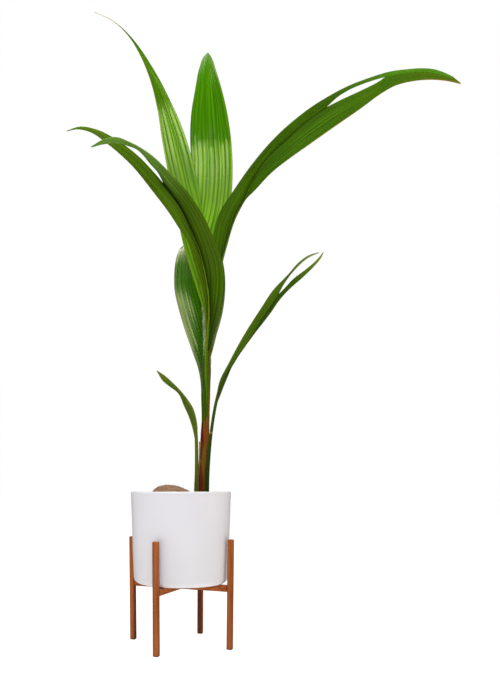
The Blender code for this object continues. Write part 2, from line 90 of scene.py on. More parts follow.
# Stem foot to leaf feet: (x, depth, z, radius) in mm
SHEATH = [(54.0, 0.0, 372.4, 12.6), (54.0, 0.0, 384.0, 12.4), (55.6, 0.0, 420.0, 11.9),
          (58.0, 0.0, 470.0, 11.2), (60.6, 0.0, 525.0, 10.6), (62.4, 0.0, 560.0, 10.0),
          (62.4, 0.0, 570.6, 9.9)]
CLASPING_BASES = [(61.8, 0.0, 550.0, 9.0), (62.8, 0.0, 580.0, 9.1), (64.7, 0.0, 647.0, 9.5),
                  (66.0, -0.5, 700.0, 9.6), (67.8, -1.0, 745.0, 7.8), (69.4, -1.0, 776.0, 5.0)]
PETIOLES = {
    "petiole_left_arching": [(62.9, -4.6, 571.1, 5.0), (62.9, -4.6, 580.0, 5.0), (64.2, -8.6, 680.0, 4.6)],
    "petiole_upright": [(62.8, 8.2, 571.1, 3.7), (62.8, 8.2, 580.0, 3.7), (64.8, 10.6, 710.0, 3.5)],
    "petiole_right_arching": [(68.9, 2.2, 571.1, 3.7), (68.9, 2.2, 580.0, 3.7), (72.2, 1.2, 740.0, 3.6)],
    "petiole_back": [(56.6, 2.2, 571.1, 3.7), (56.6, 2.2, 580.0, 3.7)],
    "petiole_small": [(37.8, -7.2, 383.5, 4.8), (37.9, -7.2, 392.0, 4.8), (39.4, -7.4, 430.0, 4.8),
                      (39.8, -7.6, 482.0, 4.6)],
    "petiole_low": [(66.4, -13.6, 372.4, 5.0), (66.4, -13.6, 382.0, 5.0), (67.6, -14.2, 435.0, 4.9),
                    (71.6, -14.6, 490.0, 4.3), (77.4, -15.0, 545.0, 4.0)],
}

# Leaf lines: rib and inner edges as (x, z, depth), margins as (x, z), all in mm on the upright sheet.
# half_width is the blade's true half width in mm at even steps from foot to tip. side is 1 where the
# margin lies beyond the rib and -1 where it lies before it.
LEAVES = {
    "leaf_upright": {
        "petiole": "petiole_upright",
        "rib": [(66, 800, 18), (64, 851, 19), (62, 902, 21), (61, 966, 24), (58, 1029, 29)],
        "lobes": [
            {
                "inner": [(52, 1103, 32), (41, 1182, 38), (22, 1261, 45), (-2, 1330, 51), (-28, 1386, 56),
                          (-53, 1436, 65), (-79, 1480, 74), (-104, 1518, 82), (-130, 1550, 86),
                          (-153, 1573, 90), (-175, 1590, 92), (-219, 1610, 96)],
                "margin": [(63, 800), (60, 846), (49, 876), (33, 927), (17, 978), (2, 1034), (-13, 1118),
                           (-33, 1202), (-48, 1284), (-62, 1373), (-79, 1439), (-104, 1500), (-130, 1544),
                           (-154, 1571), (-176, 1588), (-219, 1608)],
                "crimp": (0.69, 1.0),
                "half_width": [4, 21, 37, 54, 60, 60, 46, 26, 12, 4, 1.3],
                "side": 1,
            },
            {
                "inner": [(47, 1118, 52), (32, 1195, 66), (24, 1271, 76), (26, 1348, 84), (36, 1411, 92),
                          (47, 1467, 102), (58, 1496, 108), (66, 1506, 110)],
                "margin": [(70, 800), (76, 851), (84, 915), (97, 983), (112, 1050), (126, 1118),
                           (132, 1202), (125, 1309), (111, 1386), (89, 1462), (77, 1496), (69, 1507)],
                "crimp": (0.67, 1.0),
                "half_width": [4, 14, 28, 46, 68, 92, 104, 104, 86, 54, 2.4],
                "side": 1,
            },
        ],
    },
    "leaf_left_arching": {
        "petiole": "petiole_left_arching",
        "rib": [(65, 744, -12), (70, 805, -16), (72, 864, -20), (69, 902, -23), (61, 948, -29),
                (49, 999, -38), (23, 1065, -52), (-2, 1116, -64), (-23, 1146, -71), (-43, 1172, -76)],
        "lobes": [
            {
                "inner": [(-79, 1213, -66), (-104, 1239, -60), (-142, 1270, -52),
                          (-175, 1292, -44), (-216, 1311, -34), (-257, 1318, -24), (-290, 1308, -12)],
                "margin": [(62, 744), (66, 800), (63, 846), (54, 902), (32, 978), (16, 1029), (-2, 1055),
                           (-28, 1096), (-79, 1163), (-130, 1224), (-186, 1274), (-237, 1306),
                           (-267, 1311), (-291, 1306)],
                "half_width": [4, 14, 26, 38, 50, 60, 64, 60, 48, 30, 2.4],
                "side": 1,
            },
            {
                "inner": [(-60, 1203, -82), (-79, 1224, -90), (-94, 1243, -96), (-109, 1258, -102),
                          (-135, 1269, -110), (-168, 1275, -120), (-198, 1273, -128), (-228, 1265, -136)],
                "margin": [(68, 744), (84, 787), (97, 838), (106, 889), (109, 933), (105, 973), (87, 1022),
                           (61, 1083), (23, 1144), (-33, 1205), (-79, 1248), (-130, 1279), (-168, 1292),
                           (-196, 1286), (-229, 1267)],
                "half_width": [4, 25, 44, 57, 65, 70, 68, 60, 46, 28, 2.4],
                "side": -1,
            },
        ],
    },
    "leaf_right_arching": {
        "petiole": "petiole_right_arching",
        "rib": [(79, 831, 0), (91, 902, 3), (105, 973, 8), (121, 1032, 14), (141, 1095, 20),
                (159, 1129, 24), (188, 1190, 30), (226, 1243, 34), (277, 1294, 36), (324, 1335, 36),
                (370, 1367, 34)],
        "lobes": [
            {
                "inner": [(402, 1396, 30), (431, 1414, 26), (459, 1426, 22), (501, 1440, 18),
                          (545, 1450, 14), (589, 1456, 10), (634, 1456, 6), (668, 1449, 4), (692, 1441, 2)],
                "margin": [(76, 831), (73, 889), (75, 973), (82, 1042), (100, 1101), (131, 1150),
                           (176, 1216), (226, 1275), (278, 1326), (329, 1366), (380, 1397), (430, 1423),
                           (481, 1443), (532, 1458), (583, 1464), (609, 1466), (650, 1463), (680, 1452),
                           (696, 1444)],
                "half_width": [4, 27, 45, 60, 72, 80, 80, 68, 50, 32, 2.6],
                "side": -1,
            },
            {
                "inner": [(405, 1385, 38), (459, 1410, 42), (501, 1431, 44), (527, 1448, 45),
                          (571, 1460, 44), (622, 1461, 42), (668, 1452, 40), (693, 1444, 39),
                          (712, 1430, 38)],
                "margin": [(82, 831), (88, 897), (100, 968), (116, 1027), (136, 1086), (159, 1128),
                           (184, 1152), (226, 1196), (278, 1238), (330, 1275), (392, 1318), (457, 1364),
                           (508, 1401), (546, 1422), (585, 1433), (630, 1438), (673, 1435), (713, 1426)],
                "half_width": [4, 22, 42, 60, 74, 82, 82, 74, 58, 36, 3],
                "side": 1,
            },
        ],
    },
    "leaf_back": {
        "petiole": "petiole_back",
        "rib": [(55, 642, 8), (55, 656, 11), (56, 672, 18), (56, 698, 31), (56, 762, 48), (54, 826, 63),
                (50, 889, 79), (49, 953, 105), (49, 1004, 133), (51, 1030, 152), (51, 1026, 180),
                (51, 1000, 212), (51, 968, 242)],
        "lobes": [
            {
                "inner": [(41, 925, 268), (30, 880, 292), (20, 836, 312)],
                "margin": [(52, 642, 8), (50, 668, 16), (45, 698, 28), (28, 749, 38), (10, 800, 49),
                           (-5, 851, 61), (-16, 902, 74), (-17, 940, 89), (-13, 978, 107),
                           (-4, 1004, 128), (6, 1014, 150), (12, 996, 178), (10, 955, 222),
                           (8, 905, 258), (10, 865, 287), (18, 834, 313)],
            },
            {
                "inner": [(62, 925, 268), (74, 885, 290), (84, 845, 308)],
                "margin": [(58, 642, 8), (59, 664, 18), (65, 698, 34), (79, 741, 42), (91, 787, 51),
                           (105, 838, 63), (112, 889, 76), (112, 940, 97), (106, 978, 119),
                           (96, 1000, 142), (91, 1000, 166), (90, 985, 190), (94, 950, 226),
                           (97, 905, 258), (94, 870, 284), (86, 843, 309)],
            },
        ],
    },
    "leaf_small": {
        "petiole": "petiole_small",
        "rib": [(39, 520, -8), (36, 556, -10), (26, 590, -12), (13, 615, -14), (-1, 638, -16),
                (-20, 657, -18), (-42, 677, -20), (-61, 696, -22)],
        "lobes": [
            {
                "margin": [(36, 520), (30, 550), (20, 580), (8, 606), (-8, 640), (-30, 657), (-47, 671),
                           (-61, 695)],
                "half_width": [3, 8, 12, 15, 16, 16, 15, 12, 9, 5, 1.6],
                "side": 1,
            },
            {
                "margin": [(41, 520), (42, 552), (38, 577), (31, 600), (16, 624), (-3, 648), (-24, 669),
                           (-42, 685), (-61, 697)],
                "half_width": [3, 8, 12, 15, 16, 16, 15, 12, 9, 5, 1.6],
                "side": -1,
            },
        ],
    },
    "leaf_low": {
        "petiole": "petiole_low",
        "rib": [(93, 629, -16), (98, 650, -17), (106, 671, -18), (142, 730, -22), (175, 778, -26),
                (205, 828, -30), (229, 862, -33), (248, 890, -36)],
        "lobes": [
            {
                "inner": [(261, 915, -42), (277, 938, -48), (297, 961, -54), (324, 984, -60),
                          (350, 996, -66)],
                "margin": [(90, 629), (98, 668), (123, 717), (167, 798), (207, 860), (235, 901), (272, 940),
                           (303, 975), (327, 991), (351, 998)],
                "half_width": [4, 12, 22, 30, 36, 38, 34, 26, 17, 10, 2],
                "side": -1,
            },
            {
                "inner": [(264, 906, -34), (285, 929, -31), (316, 953, -28), (344, 977, -26),
                          (362, 998, -24)],
                "margin": [(98, 627), (113, 666), (148, 740), (175, 778), (203, 811), (229, 844),
                           (252, 877), (277, 905), (311, 935), (340, 963), (358, 985), (364, 998)],
                "half_width": [4, 12, 22, 30, 34, 34, 30, 24, 16, 10, 2],
                "side": 1,
            },
        ],
    },
}

# Each blade's look. greens: its two halves, its foot and its tip. fold_shades: how far the painted shade in
# the fold beside the rib darkens each half. below: its halves below its crimp, lighter as painted light.
# crease_shades: how dark the painted shade in the creases between its pleats is. dried: the dry share of its
# length. pleat: its pleats' height as a share of the others'.
# thread: where along it the first lobe has dried to a pale thread.
BLADE_LOOKS = {
    "leaf_upright": {
        # The lighter greens below the crimp are painted light
        "greens": ("#4C7E06", "#3E8200", "#72AE0C"), "below": ("#64A004", "#70B00C"),
        "tips": ("#468208", "#448A04"), "thread": 0.91, "dried": 0.004, "fold_shades": (0.15, 0.3),
        # Its strong streaks are partly tone, partly painted highlights along the pleats
        "crease_shades": 0.85, "pleat": 1.25, "streaks": 1.7, "roughness": (0.1, 0.18), "gloss": 0.55,
        "dulled": (0.4, 0.61, 0.9)},
    "leaf_left_arching": {
        # Its second half's greyish tip green is a painted sheen
        "greens": ("#547C02", "#466A02", "#243E00"), "tips": ("#648C14", "#6E9C38"),
        "tips_from": (0.78, 0.58), "dried": 0.005, "fold_shades": (1.0, 1.4), "crease_shades": 0.5,
        "margins": (0.25, 0.0), "roughness": (0.26, 0.42), "gloss": 0.3},
    "leaf_right_arching": {
        # Its first half's bright tip green is painted light from above
        "greens": ("#426E00", "#467802", "#244400"), "tips": ("#5CA016", "#5C7A06"),
        "tips_from": (0.66, 0.8), "dried": 0.004, "fold_shades": (1.1, 0.35), "crease_shades": 0.4, "pleat": 0.7,
        "margins": (0.0, 1.0), "roughness": (0.28, 0.44), "gloss": 0.25},
    "leaf_back": {
        "greens": ("#367002", "#306800", "#265400"), "tips": ("#367002", "#306800"),
        "fold_shades": (0.3, 0.3), "crease_shades": 0.7, "pleat": 0.3, "roughness": (0.2, 0.34), "gloss": 0.85,
        "dulled": (0.12, 0.3, 0.5)},
    "leaf_small": {
        "greens": ("#567A08", "#647C20", "#567A04"), "tips": ("#74861E", "#74861E"), "dried": 0.015,
        "fold_shades": (0.2, 0.2), "crease_shades": 0.4, "roughness": (0.26, 0.42), "gloss": 0.4},
    "leaf_low": {
        "greens": ("#4E7602", "#3A6200", "#2E4E00"), "tips": ("#7E9A2A", "#86A22A"), "dried": 0.012,
        "fold_shades": (0.2, 0.6), "crease_shades": 0.5, "roughness": (0.26, 0.42), "gloss": 0.3},
}

# Each petiole's two sides, left and right, and the far end of its midrib
STALK_COLOURS = {
    "petiole_left_arching": ("#8C8E14", "#4A7400", "#587C0A"),
    "petiole_upright": ("#4A7400", "#4A7400", "#62901C"),
    "petiole_right_arching": ("#5A7400", "#62780C", "#5A7E04"),
    "petiole_back": ("#2E5A04", "#35640A", "#4E7E10"),
    "petiole_small": ("#5A7004", "#6A780C", "#5E7818"),
    "petiole_low": ("#36540A", "#2E4A04", "#50681A"),
}
SCAR_HEIGHT = 0.5370


def linear(hex_colour):
    """Linear RGBA of an sRGB hex colour."""
    channels = [int(hex_colour[i:i + 2], 16) / 255 for i in (1, 3, 5)]
    return tuple(c / 12.92 if c <= 0.04045 else ((c + 0.055) / 1.055) ** 2.4 for c in channels) + (1.0,)


def colour_property(name, description, hex_colour):
    """A colour that a user can change, given as sRGB hex."""
    return FloatVectorProperty(name=name, description=description, subtype="COLOR", size=4, min=0.0,
                               max=1.0, default=linear(hex_colour))


class PalmPotSettings(bpy.types.PropertyGroup):
    """Sizes and colour of the glazed pot."""
    wall: FloatProperty(name="Wall", description="Thickness of the pot's wall", default=0.008,
                        unit="LENGTH", subtype="DISTANCE")
    heel: FloatProperty(name="Heel", description="Radius of the round between wall and underside",
                        default=0.016, unit="LENGTH", subtype="DISTANCE")
    lip: FloatProperty(name="Lip", description="Height of the shallow band under the rim", default=0.0085,
                       unit="LENGTH", subtype="DISTANCE")
    segments: IntProperty(name="Segments", description="Faces round the pot", default=160, min=24)
    glaze: colour_property("Glaze", "Colour of the glaze", "#F4F1F2")


class PalmSoilSettings(bpy.types.PropertyGroup):
    """Sizes and colours of the potting mix."""
    crumb: FloatProperty(name="Crumb", description="Mean width of a bark crumb", default=0.0042,
                         unit="LENGTH", subtype="DISTANCE")
    density: FloatProperty(name="Crumbs per square metre", description="How thickly crumbs lie",
                           default=42000.0, min=0.0)
    mix: colour_property("Mix", "Colour of the moist mix", "#33261C")
    bark: colour_property("Bark", "Colour of the paler crumbs", "#6B4E36")


class PalmHuskSettings(bpy.types.PropertyGroup):
    """Sizes and colours of the coconut's husk."""
    fibre: FloatProperty(name="Fibre", description="Length of a loose fibre", default=0.011,
                         unit="LENGTH", subtype="DISTANCE")
    thickness: FloatProperty(name="Thickness", description="Thickness of a loose fibre", default=0.00035,
                             unit="LENGTH", subtype="DISTANCE")
    husk: colour_property("Husk", "Colour of the dry husk", "#B38B6A")
    dark: colour_property("Hollows", "Colour between the fibres", "#7C583C")


class PalmStemSettings(bpy.types.PropertyGroup):
    """Sizes and colours of the stem's sheath and the petioles."""
    ridge: FloatProperty(name="Ridge", description="Height of the sheath's ridges", default=0.0005,
                         unit="LENGTH", subtype="DISTANCE")
    channel: FloatProperty(name="Channel", description="Depth of a petiole's channel, as a share",
                           default=0.3, min=0.0, max=0.9, subtype="FACTOR")
    keel: FloatProperty(name="Keel", description="How far a petiole's back is drawn out, as a share",
                        default=0.12, min=0.0, max=0.5, subtype="FACTOR")
    brown: colour_property("Sheath", "Colour of the sheath's fibres", "#90490C")
    maroon: colour_property("Old sheath", "Colour of the oldest sheath", "#5C1A00")
    olive: colour_property("Green sheath", "Colour of the sheath's living patches", "#7C5E08")
    scrap: colour_property("Dry scrap", "Colour of the dry edge of the lowest sheath", "#B89068")
    green: colour_property("Living base", "Colour of the living leaf bases", "#466800")


class PalmLeafSettings(bpy.types.PropertyGroup):
    """Sizes and colours that all the blades share."""
    pleat: FloatProperty(name="Pleat", description="Width of a pleat of the blade", default=0.0098,
                         unit="LENGTH", subtype="DISTANCE")
    depth: FloatProperty(name="Pleat depth", description="Height of a pleat", default=0.0013,
                         unit="LENGTH", subtype="DISTANCE")
    thickness: FloatProperty(name="Thickness", description="Thickness of the blade", default=0.0009,
                             unit="LENGTH", subtype="DISTANCE")
    row: FloatProperty(name="Row", description="Length of a row of the blade's mesh", default=0.0055,
                       unit="LENGTH", subtype="DISTANCE")
    columns: IntProperty(name="Columns", description="Mesh columns in one pleat", default=7, min=3)
    wax: colour_property("Wax", "Colour of the gloss on the blade's wax", "#FFF6B0")
    margin: colour_property("Margin", "Colour of the thin dry margin", "#A07C24")
    dry: colour_property("Dry tip", "Colour of the dry lobe tips", "#94682E")
    thread: colour_property("Thread", "Colour of a lobe tip that has dried to a thread", "#D8CCB4")


class PalmStandSettings(bpy.types.PropertyGroup):
    """Colours of the stand."""
    wood: colour_property("Wood", "Main colour of the oiled wood", "#B66228")
    grain: colour_property("Grain", "Colour of the darker grain", "#84400F")
    # Painted shade: the colour that the faces towards the pot are darkened to, as if in its shadow
    inner: colour_property("Inner faces", "Colour of the faces towards the pot", "#4A1C08")
    # Partly the feet's darker end grain, partly painted contact shade where they meet the floor
    pad: colour_property("Foot ends", "Colour of the ends of the feet", "#2A160E")


class PalmStageSettings(bpy.types.PropertyGroup):
    """Floor and light."""
    floor: colour_property("Floor", "Colour of the floor and the wall round it", "#FFFFFF")
    table: FloatProperty(name="Table", description="Brightness of the floor, which is lit from below",
                         default=1.0, min=0.0)
    wall: FloatProperty(name="Wall", description="Brightness of the wall round the floor", default=1.0,
                        min=0.0)
    front: FloatProperty(name="Front", description="Power of the wide light in front", default=48.0,
                         min=0.0, unit="POWER")
    top: FloatProperty(name="Top", description="Power of the light overhead", default=400.0, min=0.0,
                       unit="POWER")
    side: FloatProperty(name="Side", description="Power of the weak warm light on the right", default=6.0,
                        min=0.0, unit="POWER")
    sky: FloatProperty(name="Sky", description="Strength of the even light all round", default=0.1, min=0.0)


class PalmSettings(bpy.types.PropertyGroup):
    """All the settings of the palm."""
    pot: PointerProperty(type=PalmPotSettings)
    soil: PointerProperty(type=PalmSoilSettings)
    husk: PointerProperty(type=PalmHuskSettings)
    stem: PointerProperty(type=PalmStemSettings)
    leaf: PointerProperty(type=PalmLeafSettings)
    stand: PointerProperty(type=PalmStandSettings)
    stage: PointerProperty(type=PalmStageSettings)


# Node trees

def add_node(tree, kind, inputs=None, **settings):
    """Add a node, set its properties, and set or link its inputs, named or numbered."""
    node = tree.nodes.new(kind)
    for key, value in settings.items():
        setattr(node, key, value)
    for key, value in (inputs or {}).items():
        if isinstance(value, bpy.types.NodeSocket):
            tree.links.new(value, node.inputs[key])
        else:
            node.inputs[key].default_value = value
    return node


def start_tree(name, inputs):
    """A geometry tree with the given named inputs, as {name: (socket kind, default)}, and its input node."""
    tree = bpy.data.node_groups.new(name, "GeometryNodeTree")
    tree.interface.new_socket("Geometry", in_out="INPUT", socket_type="NodeSocketGeometry")
    tree.interface.new_socket("Geometry", in_out="OUTPUT", socket_type="NodeSocketGeometry")
    for label, (kind, default) in inputs.items():
        socket = tree.interface.new_socket(label, in_out="INPUT", socket_type=kind)
        if default is not None:
            socket.default_value = default
    return tree, tree.nodes.new("NodeGroupInput").outputs


def end_tree(tree, geometry, given):
    """Realize instances, set the material and close the tree."""
    real = add_node(tree, "GeometryNodeRealizeInstances", {"Geometry": geometry})
    shaded = add_node(tree, "GeometryNodeSetShadeSmooth", {"Geometry": real.outputs[0]})
    painted = add_node(tree, "GeometryNodeSetMaterial",
                       {"Geometry": shaded.outputs[0], "Material": given["Material"]})
    add_node(tree, "NodeGroupOutput", {"Geometry": painted.outputs[0]})
    return tree


def grown(name, source, tree, values, wall=0.0):
    """A piece made by a geometry tree from a source mesh, as a plain mesh object."""
    thing = bpy.data.objects.new(name, source)
    bpy.context.collection.objects.link(thing)
    modifier = thing.modifiers.new(tree.name, "NODES")
    modifier.node_group = tree
    for item in tree.interface.items_tree:
        if item.item_type == "SOCKET" and item.in_out == "INPUT" and item.name in values:
            modifier[item.identifier] = values[item.name]
    if wall:
        solid = thing.modifiers.new("wall", "SOLIDIFY")
        solid.thickness = wall
        solid.offset = 0.0
    graph = bpy.context.evaluated_depsgraph_get()
    mesh = bpy.data.meshes.new_from_object(thing.evaluated_get(graph), preserve_all_data_layers=True,
                                           depsgraph=graph)
    thing.modifiers.clear()
    thing.data = mesh
    mesh.name = name
    return thing


def placed(name, mesh, mat=None):
    """Link a mesh as an object at the origin."""
    if mat is not None:
        mesh.materials.append(mat)
    thing = bpy.data.objects.new(name, mesh)
    bpy.context.collection.objects.link(thing)
    return thing


def dress(piece, slot, *nodes):
    """Ride on the plant's one body and stand for the given nodes. slot is not used."""
    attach(piece, "root")
    if nodes:
        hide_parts(*nodes)
    return piece


# Materials

def start_material(name, roughness, **constants):
    """A new Principled material with its constant sockets set, its tree and its shader."""
    made = bpy.data.materials.new(name)
    made.use_nodes = True
    tree = made.node_tree
    shader = tree.nodes["Principled BSDF"]
    shader.inputs["Roughness"].default_value = roughness
    for key, value in constants.items():
        shader.inputs[key.replace("_", " ")].default_value = value
    return made, tree, shader


def mixed(tree, factor, first, second):
    """Colour mixed from the first to the second by the factor."""
    node = add_node(tree, "ShaderNodeMix", {0: factor, 6: first, 7: second}, data_type="RGBA")
    return node.outputs[2]


def ramped(tree, value, low, high, out_low=0.0, out_high=1.0):
    """A value mapped from one range to another, held at both ends."""
    node = add_node(tree, "ShaderNodeMapRange", {0: value, 1: low, 2: high, 3: out_low, 4: out_high})
    return node.outputs[0]


def stretched_noise(tree, scale, detail=3.0, turn=(0.0, 0.0, 0.0)):
    """Noise on the piece's own coordinates, with its number of patches per metre on each axis."""
    place = add_node(tree, "ShaderNodeTexCoord")
    mapping = add_node(tree, "ShaderNodeMapping",
                       {"Vector": place.outputs["Object"], "Rotation": turn, "Scale": scale})
    node = add_node(tree, "ShaderNodeTexNoise",
                    {"Vector": mapping.outputs[0], "Scale": 1.0, "Detail": detail})
    return node.outputs["Fac"]


def bumped(tree, shader, height, distance, strength=1.0):
    """Give the shader a bump of the given height in metres."""
    node = add_node(tree, "ShaderNodeBump",
                    {"Height": height, "Distance": distance, "Strength": strength})
    tree.links.new(node.outputs[0], shader.inputs["Normal"])


def glazed_ceramic(settings):
    """Slip-cast stoneware under a satin white glaze, which pools by a hair and gives soft highlights."""
    made, tree, shader = start_material("satin_white_glaze", 0.32, IOR=1.5)
    cloud = stretched_noise(tree, (9.0, 9.0, 9.0), 2.0)
    shade = tuple(c * 0.965 for c in settings.glaze[:3]) + (1.0,)
    colour = mixed(tree, ramped(tree, cloud, 0.3, 0.7), tuple(settings.glaze), shade)
    tree.links.new(colour, shader.inputs["Base Color"])
    orange_peel = stretched_noise(tree, (220.0, 220.0, 220.0), 1.0)
    bumped(tree, shader, orange_peel, 0.00005)
    tree.links.new(ramped(tree, cloud, 0.3, 0.7, 0.29, 0.36), shader.inputs["Roughness"])
    return made


def oiled_hardwood(name, settings, turn, seed):
    """Planed and oiled hardwood: straight grain 1 to 2 mm wide along the stick, with a low sheen. The
    faces towards the pot are darkened with painted shade, as if in the pot's shadow, and the lowest
    millimetres of the feet with painted contact shade over their darker end grain."""
    made, tree, shader = start_material(name, 0.45, IOR=1.48, Specular_IOR_Level=0.3)
    place = add_node(tree, "ShaderNodeTexCoord")
    turned_place = add_node(tree, "ShaderNodeMapping", {
        "Vector": place.outputs["Object"], "Rotation": turn, "Location": (seed, seed * 0.7, seed * 1.3)})
    lined = add_node(tree, "ShaderNodeMapping",
                     {"Vector": turned_place.outputs[0], "Scale": (520.0, 520.0, 14.0)})
    fine = add_node(tree, "ShaderNodeTexNoise", {"Vector": lined.outputs[0], "Scale": 1.0, "Detail": 4.0})
    broad_map = add_node(tree, "ShaderNodeMapping",
                         {"Vector": turned_place.outputs[0], "Scale": (110.0, 110.0, 5.0)})
    broad = add_node(tree, "ShaderNodeTexNoise",
                     {"Vector": broad_map.outputs[0], "Scale": 1.0, "Detail": 2.0})
    grain = mixed(tree, ramped(tree, broad.outputs["Fac"], 0.35, 0.68), tuple(settings.wood),
                  tuple(settings.grain))
    pale = tuple(min(1.0, c * 1.25) for c in settings.wood[:3]) + (1.0,)
    oiled = mixed(tree, ramped(tree, fine.outputs["Fac"], 0.45, 0.75, 0.0, 0.55), grain, pale)
    # Painted shade: faces turned towards the pot's axis are darkened, as if shaded by the pot
    outward = add_node(tree, "ShaderNodeVectorMath", {
        0: add_node(tree, "ShaderNodeVectorMath", {0: place.outputs["Object"], 1: tuple(AXIS)},
                    operation="SUBTRACT").outputs[0], 1: (1.0, 1.0, 0.0)}, operation="MULTIPLY")
    away = add_node(tree, "ShaderNodeVectorMath", {0: outward.outputs[0]}, operation="NORMALIZE")
    facing = add_node(tree, "ShaderNodeVectorMath", {0: away.outputs[0], 1: place.outputs["Normal"]},
                      operation="DOT_PRODUCT").outputs["Value"]
    inner = mixed(tree, ramped(tree, facing, -0.6, 0.0, 0.75, 0.0), oiled, tuple(settings.inner))
    # Painted contact shade over the end grain: the lowest few millimetres of the feet are darker
    height = add_node(tree, "ShaderNodeSeparateXYZ", {0: place.outputs["Object"]}).outputs["Z"]
    colour = mixed(tree, ramped(tree, height, 0.0015, 0.004, 0.85, 0.0), inner, tuple(settings.pad))
    tree.links.new(colour, shader.inputs["Base Color"])
    tree.links.new(ramped(tree, fine.outputs["Fac"], 0.3, 0.7, 0.52, 0.4), shader.inputs["Roughness"])
    bumped(tree, shader, fine.outputs["Fac"], 0.00012)
    return made


def potting_mix(settings, name, colour):
    """Moist peat and bark, matt and dark, with crumbs of uneven colour."""
    made, tree, shader = start_material(name, 0.95, IOR=1.4)
    patches = stretched_noise(tree, (260.0, 260.0, 260.0), 3.0)
    mix = mixed(tree, ramped(tree, patches, 0.4, 0.65), tuple(settings.mix), colour)
    tree.links.new(mix, shader.inputs["Base Color"])
    bumped(tree, shader, stretched_noise(tree, (700.0, 700.0, 700.0), 2.0), 0.0004)
    return made


def coconut_husk(settings):
    """Dry coconut husk: coarse fibres half a millimetre wide, matt, with dark hollows between them."""
    made, tree, shader = start_material("dry_coconut_husk", 0.9, IOR=1.45)
    fibres = stretched_noise(tree, (90.0, 900.0, 900.0), 3.0)
    blotches = stretched_noise(tree, (50.0, 50.0, 50.0), 3.0)
    pale = mixed(tree, ramped(tree, blotches, 0.35, 0.7, 0.0, 0.5), tuple(settings.husk),
                 tuple(settings.dark))
    colour = mixed(tree, ramped(tree, fibres, 0.42, 0.62, 0.0, 0.75), pale, tuple(settings.dark))
    tree.links.new(colour, shader.inputs["Base Color"])
    bumped(tree, shader, fibres, 0.0006)
    return made


def dry_scrap(settings):
    """Papery dry edge of an old sheath: pale pinkish brown, matt, with darker lines 3 mm apart."""
    made, tree, shader = start_material("papery_dry_sheath", 0.8, IOR=1.4, Specular_IOR_Level=0.2)
    lines = stretched_noise(tree, (330.0, 330.0, 20.0), 2.0)
    colour = mixed(tree, ramped(tree, lines, 0.35, 0.7, 0.0, 0.6), tuple(settings.scrap), tuple(settings.brown))
    tree.links.new(colour, shader.inputs["Base Color"])
    return made


def loose_fibre(name, colour, dark):
    """Loose coir fibre, dull, pale and dark by turns."""
    made, tree, shader = start_material(name, 0.85, IOR=1.45)
    patches = stretched_noise(tree, (160.0, 160.0, 160.0), 1.0)
    tree.links.new(mixed(tree, ramped(tree, patches, 0.4, 0.6), colour, dark), shader.inputs["Base Color"])
    return made


def fibrous_sheath(settings):
    """Old leaf sheath: red-brown fibres along the stem, drawn 3 mm apart, maroon on its left and older
    side, with olive patches where it still lives."""
    made, tree, shader = start_material("fibrous_leaf_sheath", 0.62, IOR=1.45, Specular_IOR_Level=0.25)
    turn = add_node(tree, "ShaderNodeAttribute", attribute_name="stem_turn").outputs["Fac"]
    fibres = stretched_noise(tree, (420.0, 420.0, 14.0), 3.0)
    patches = stretched_noise(tree, (120.0, 120.0, 18.0), 2.0)
    old = add_node(tree, "ShaderNodeMath", {0: turn, 1: -0.35, 2: fibres}, operation="MULTIPLY_ADD").outputs[0]
    brown = mixed(tree, ramped(tree, old, 0.4, 0.7), tuple(settings.brown), tuple(settings.maroon))
    rise = add_node(tree, "ShaderNodeAttribute", attribute_name="stem_rise").outputs["Fac"]
    green = add_node(tree, "ShaderNodeMath", {0: turn, 1: 0.12, 2: patches}, operation="MULTIPLY_ADD").outputs[0]
    higher = add_node(tree, "ShaderNodeMath", {0: rise, 1: 0.1, 2: green}, operation="MULTIPLY_ADD").outputs[0]
    living = mixed(tree, ramped(tree, higher, 0.52, 0.66, 0.0, 0.85), brown, tuple(settings.olive))
    tree.links.new(living, shader.inputs["Base Color"])
    bumped(tree, shader, fibres, 0.0005)
    return made


def clasping_bases(settings):
    """Living leaf bases that clasp each other: waxy green with dark lines 3 mm apart, and the brown edge of
    an older base up the right."""
    made, tree, shader = start_material("clasping_leaf_bases", 0.38, IOR=1.45, Specular_IOR_Level=0.3)
    turn = add_node(tree, "ShaderNodeAttribute", attribute_name="stem_turn").outputs["Fac"]
    lines = stretched_noise(tree, (330.0, 330.0, 9.0), 2.0)
    green = mixed(tree, ramped(tree, lines, 0.4, 0.7), tuple(settings.green),
                  tuple(c * 0.45 for c in settings.green[:3]) + (1.0,))
    edge = add_node(tree, "ShaderNodeMath", {0: lines, 1: 0.3, 2: turn}, operation="MULTIPLY_ADD").outputs[0]
    tanned = mixed(tree, ramped(tree, edge, 0.5, 0.85, 0.0, 0.8), green, tuple(settings.olive))
    rise = add_node(tree, "ShaderNodeAttribute", attribute_name="stem_rise").outputs["Fac"]
    low = add_node(tree, "ShaderNodeMath", {
        0: ramped(tree, edge, 0.95, 1.05, 0.0, 0.9), 1: ramped(tree, rise, 0.7, 0.82, 1.0, 0.0)},
        operation="MULTIPLY").outputs[0]
    browned = mixed(tree, low, tanned, tuple(settings.brown))
    tree.links.new(browned, shader.inputs["Base Color"])
    bumped(tree, shader, lines, 0.0002)
    return made


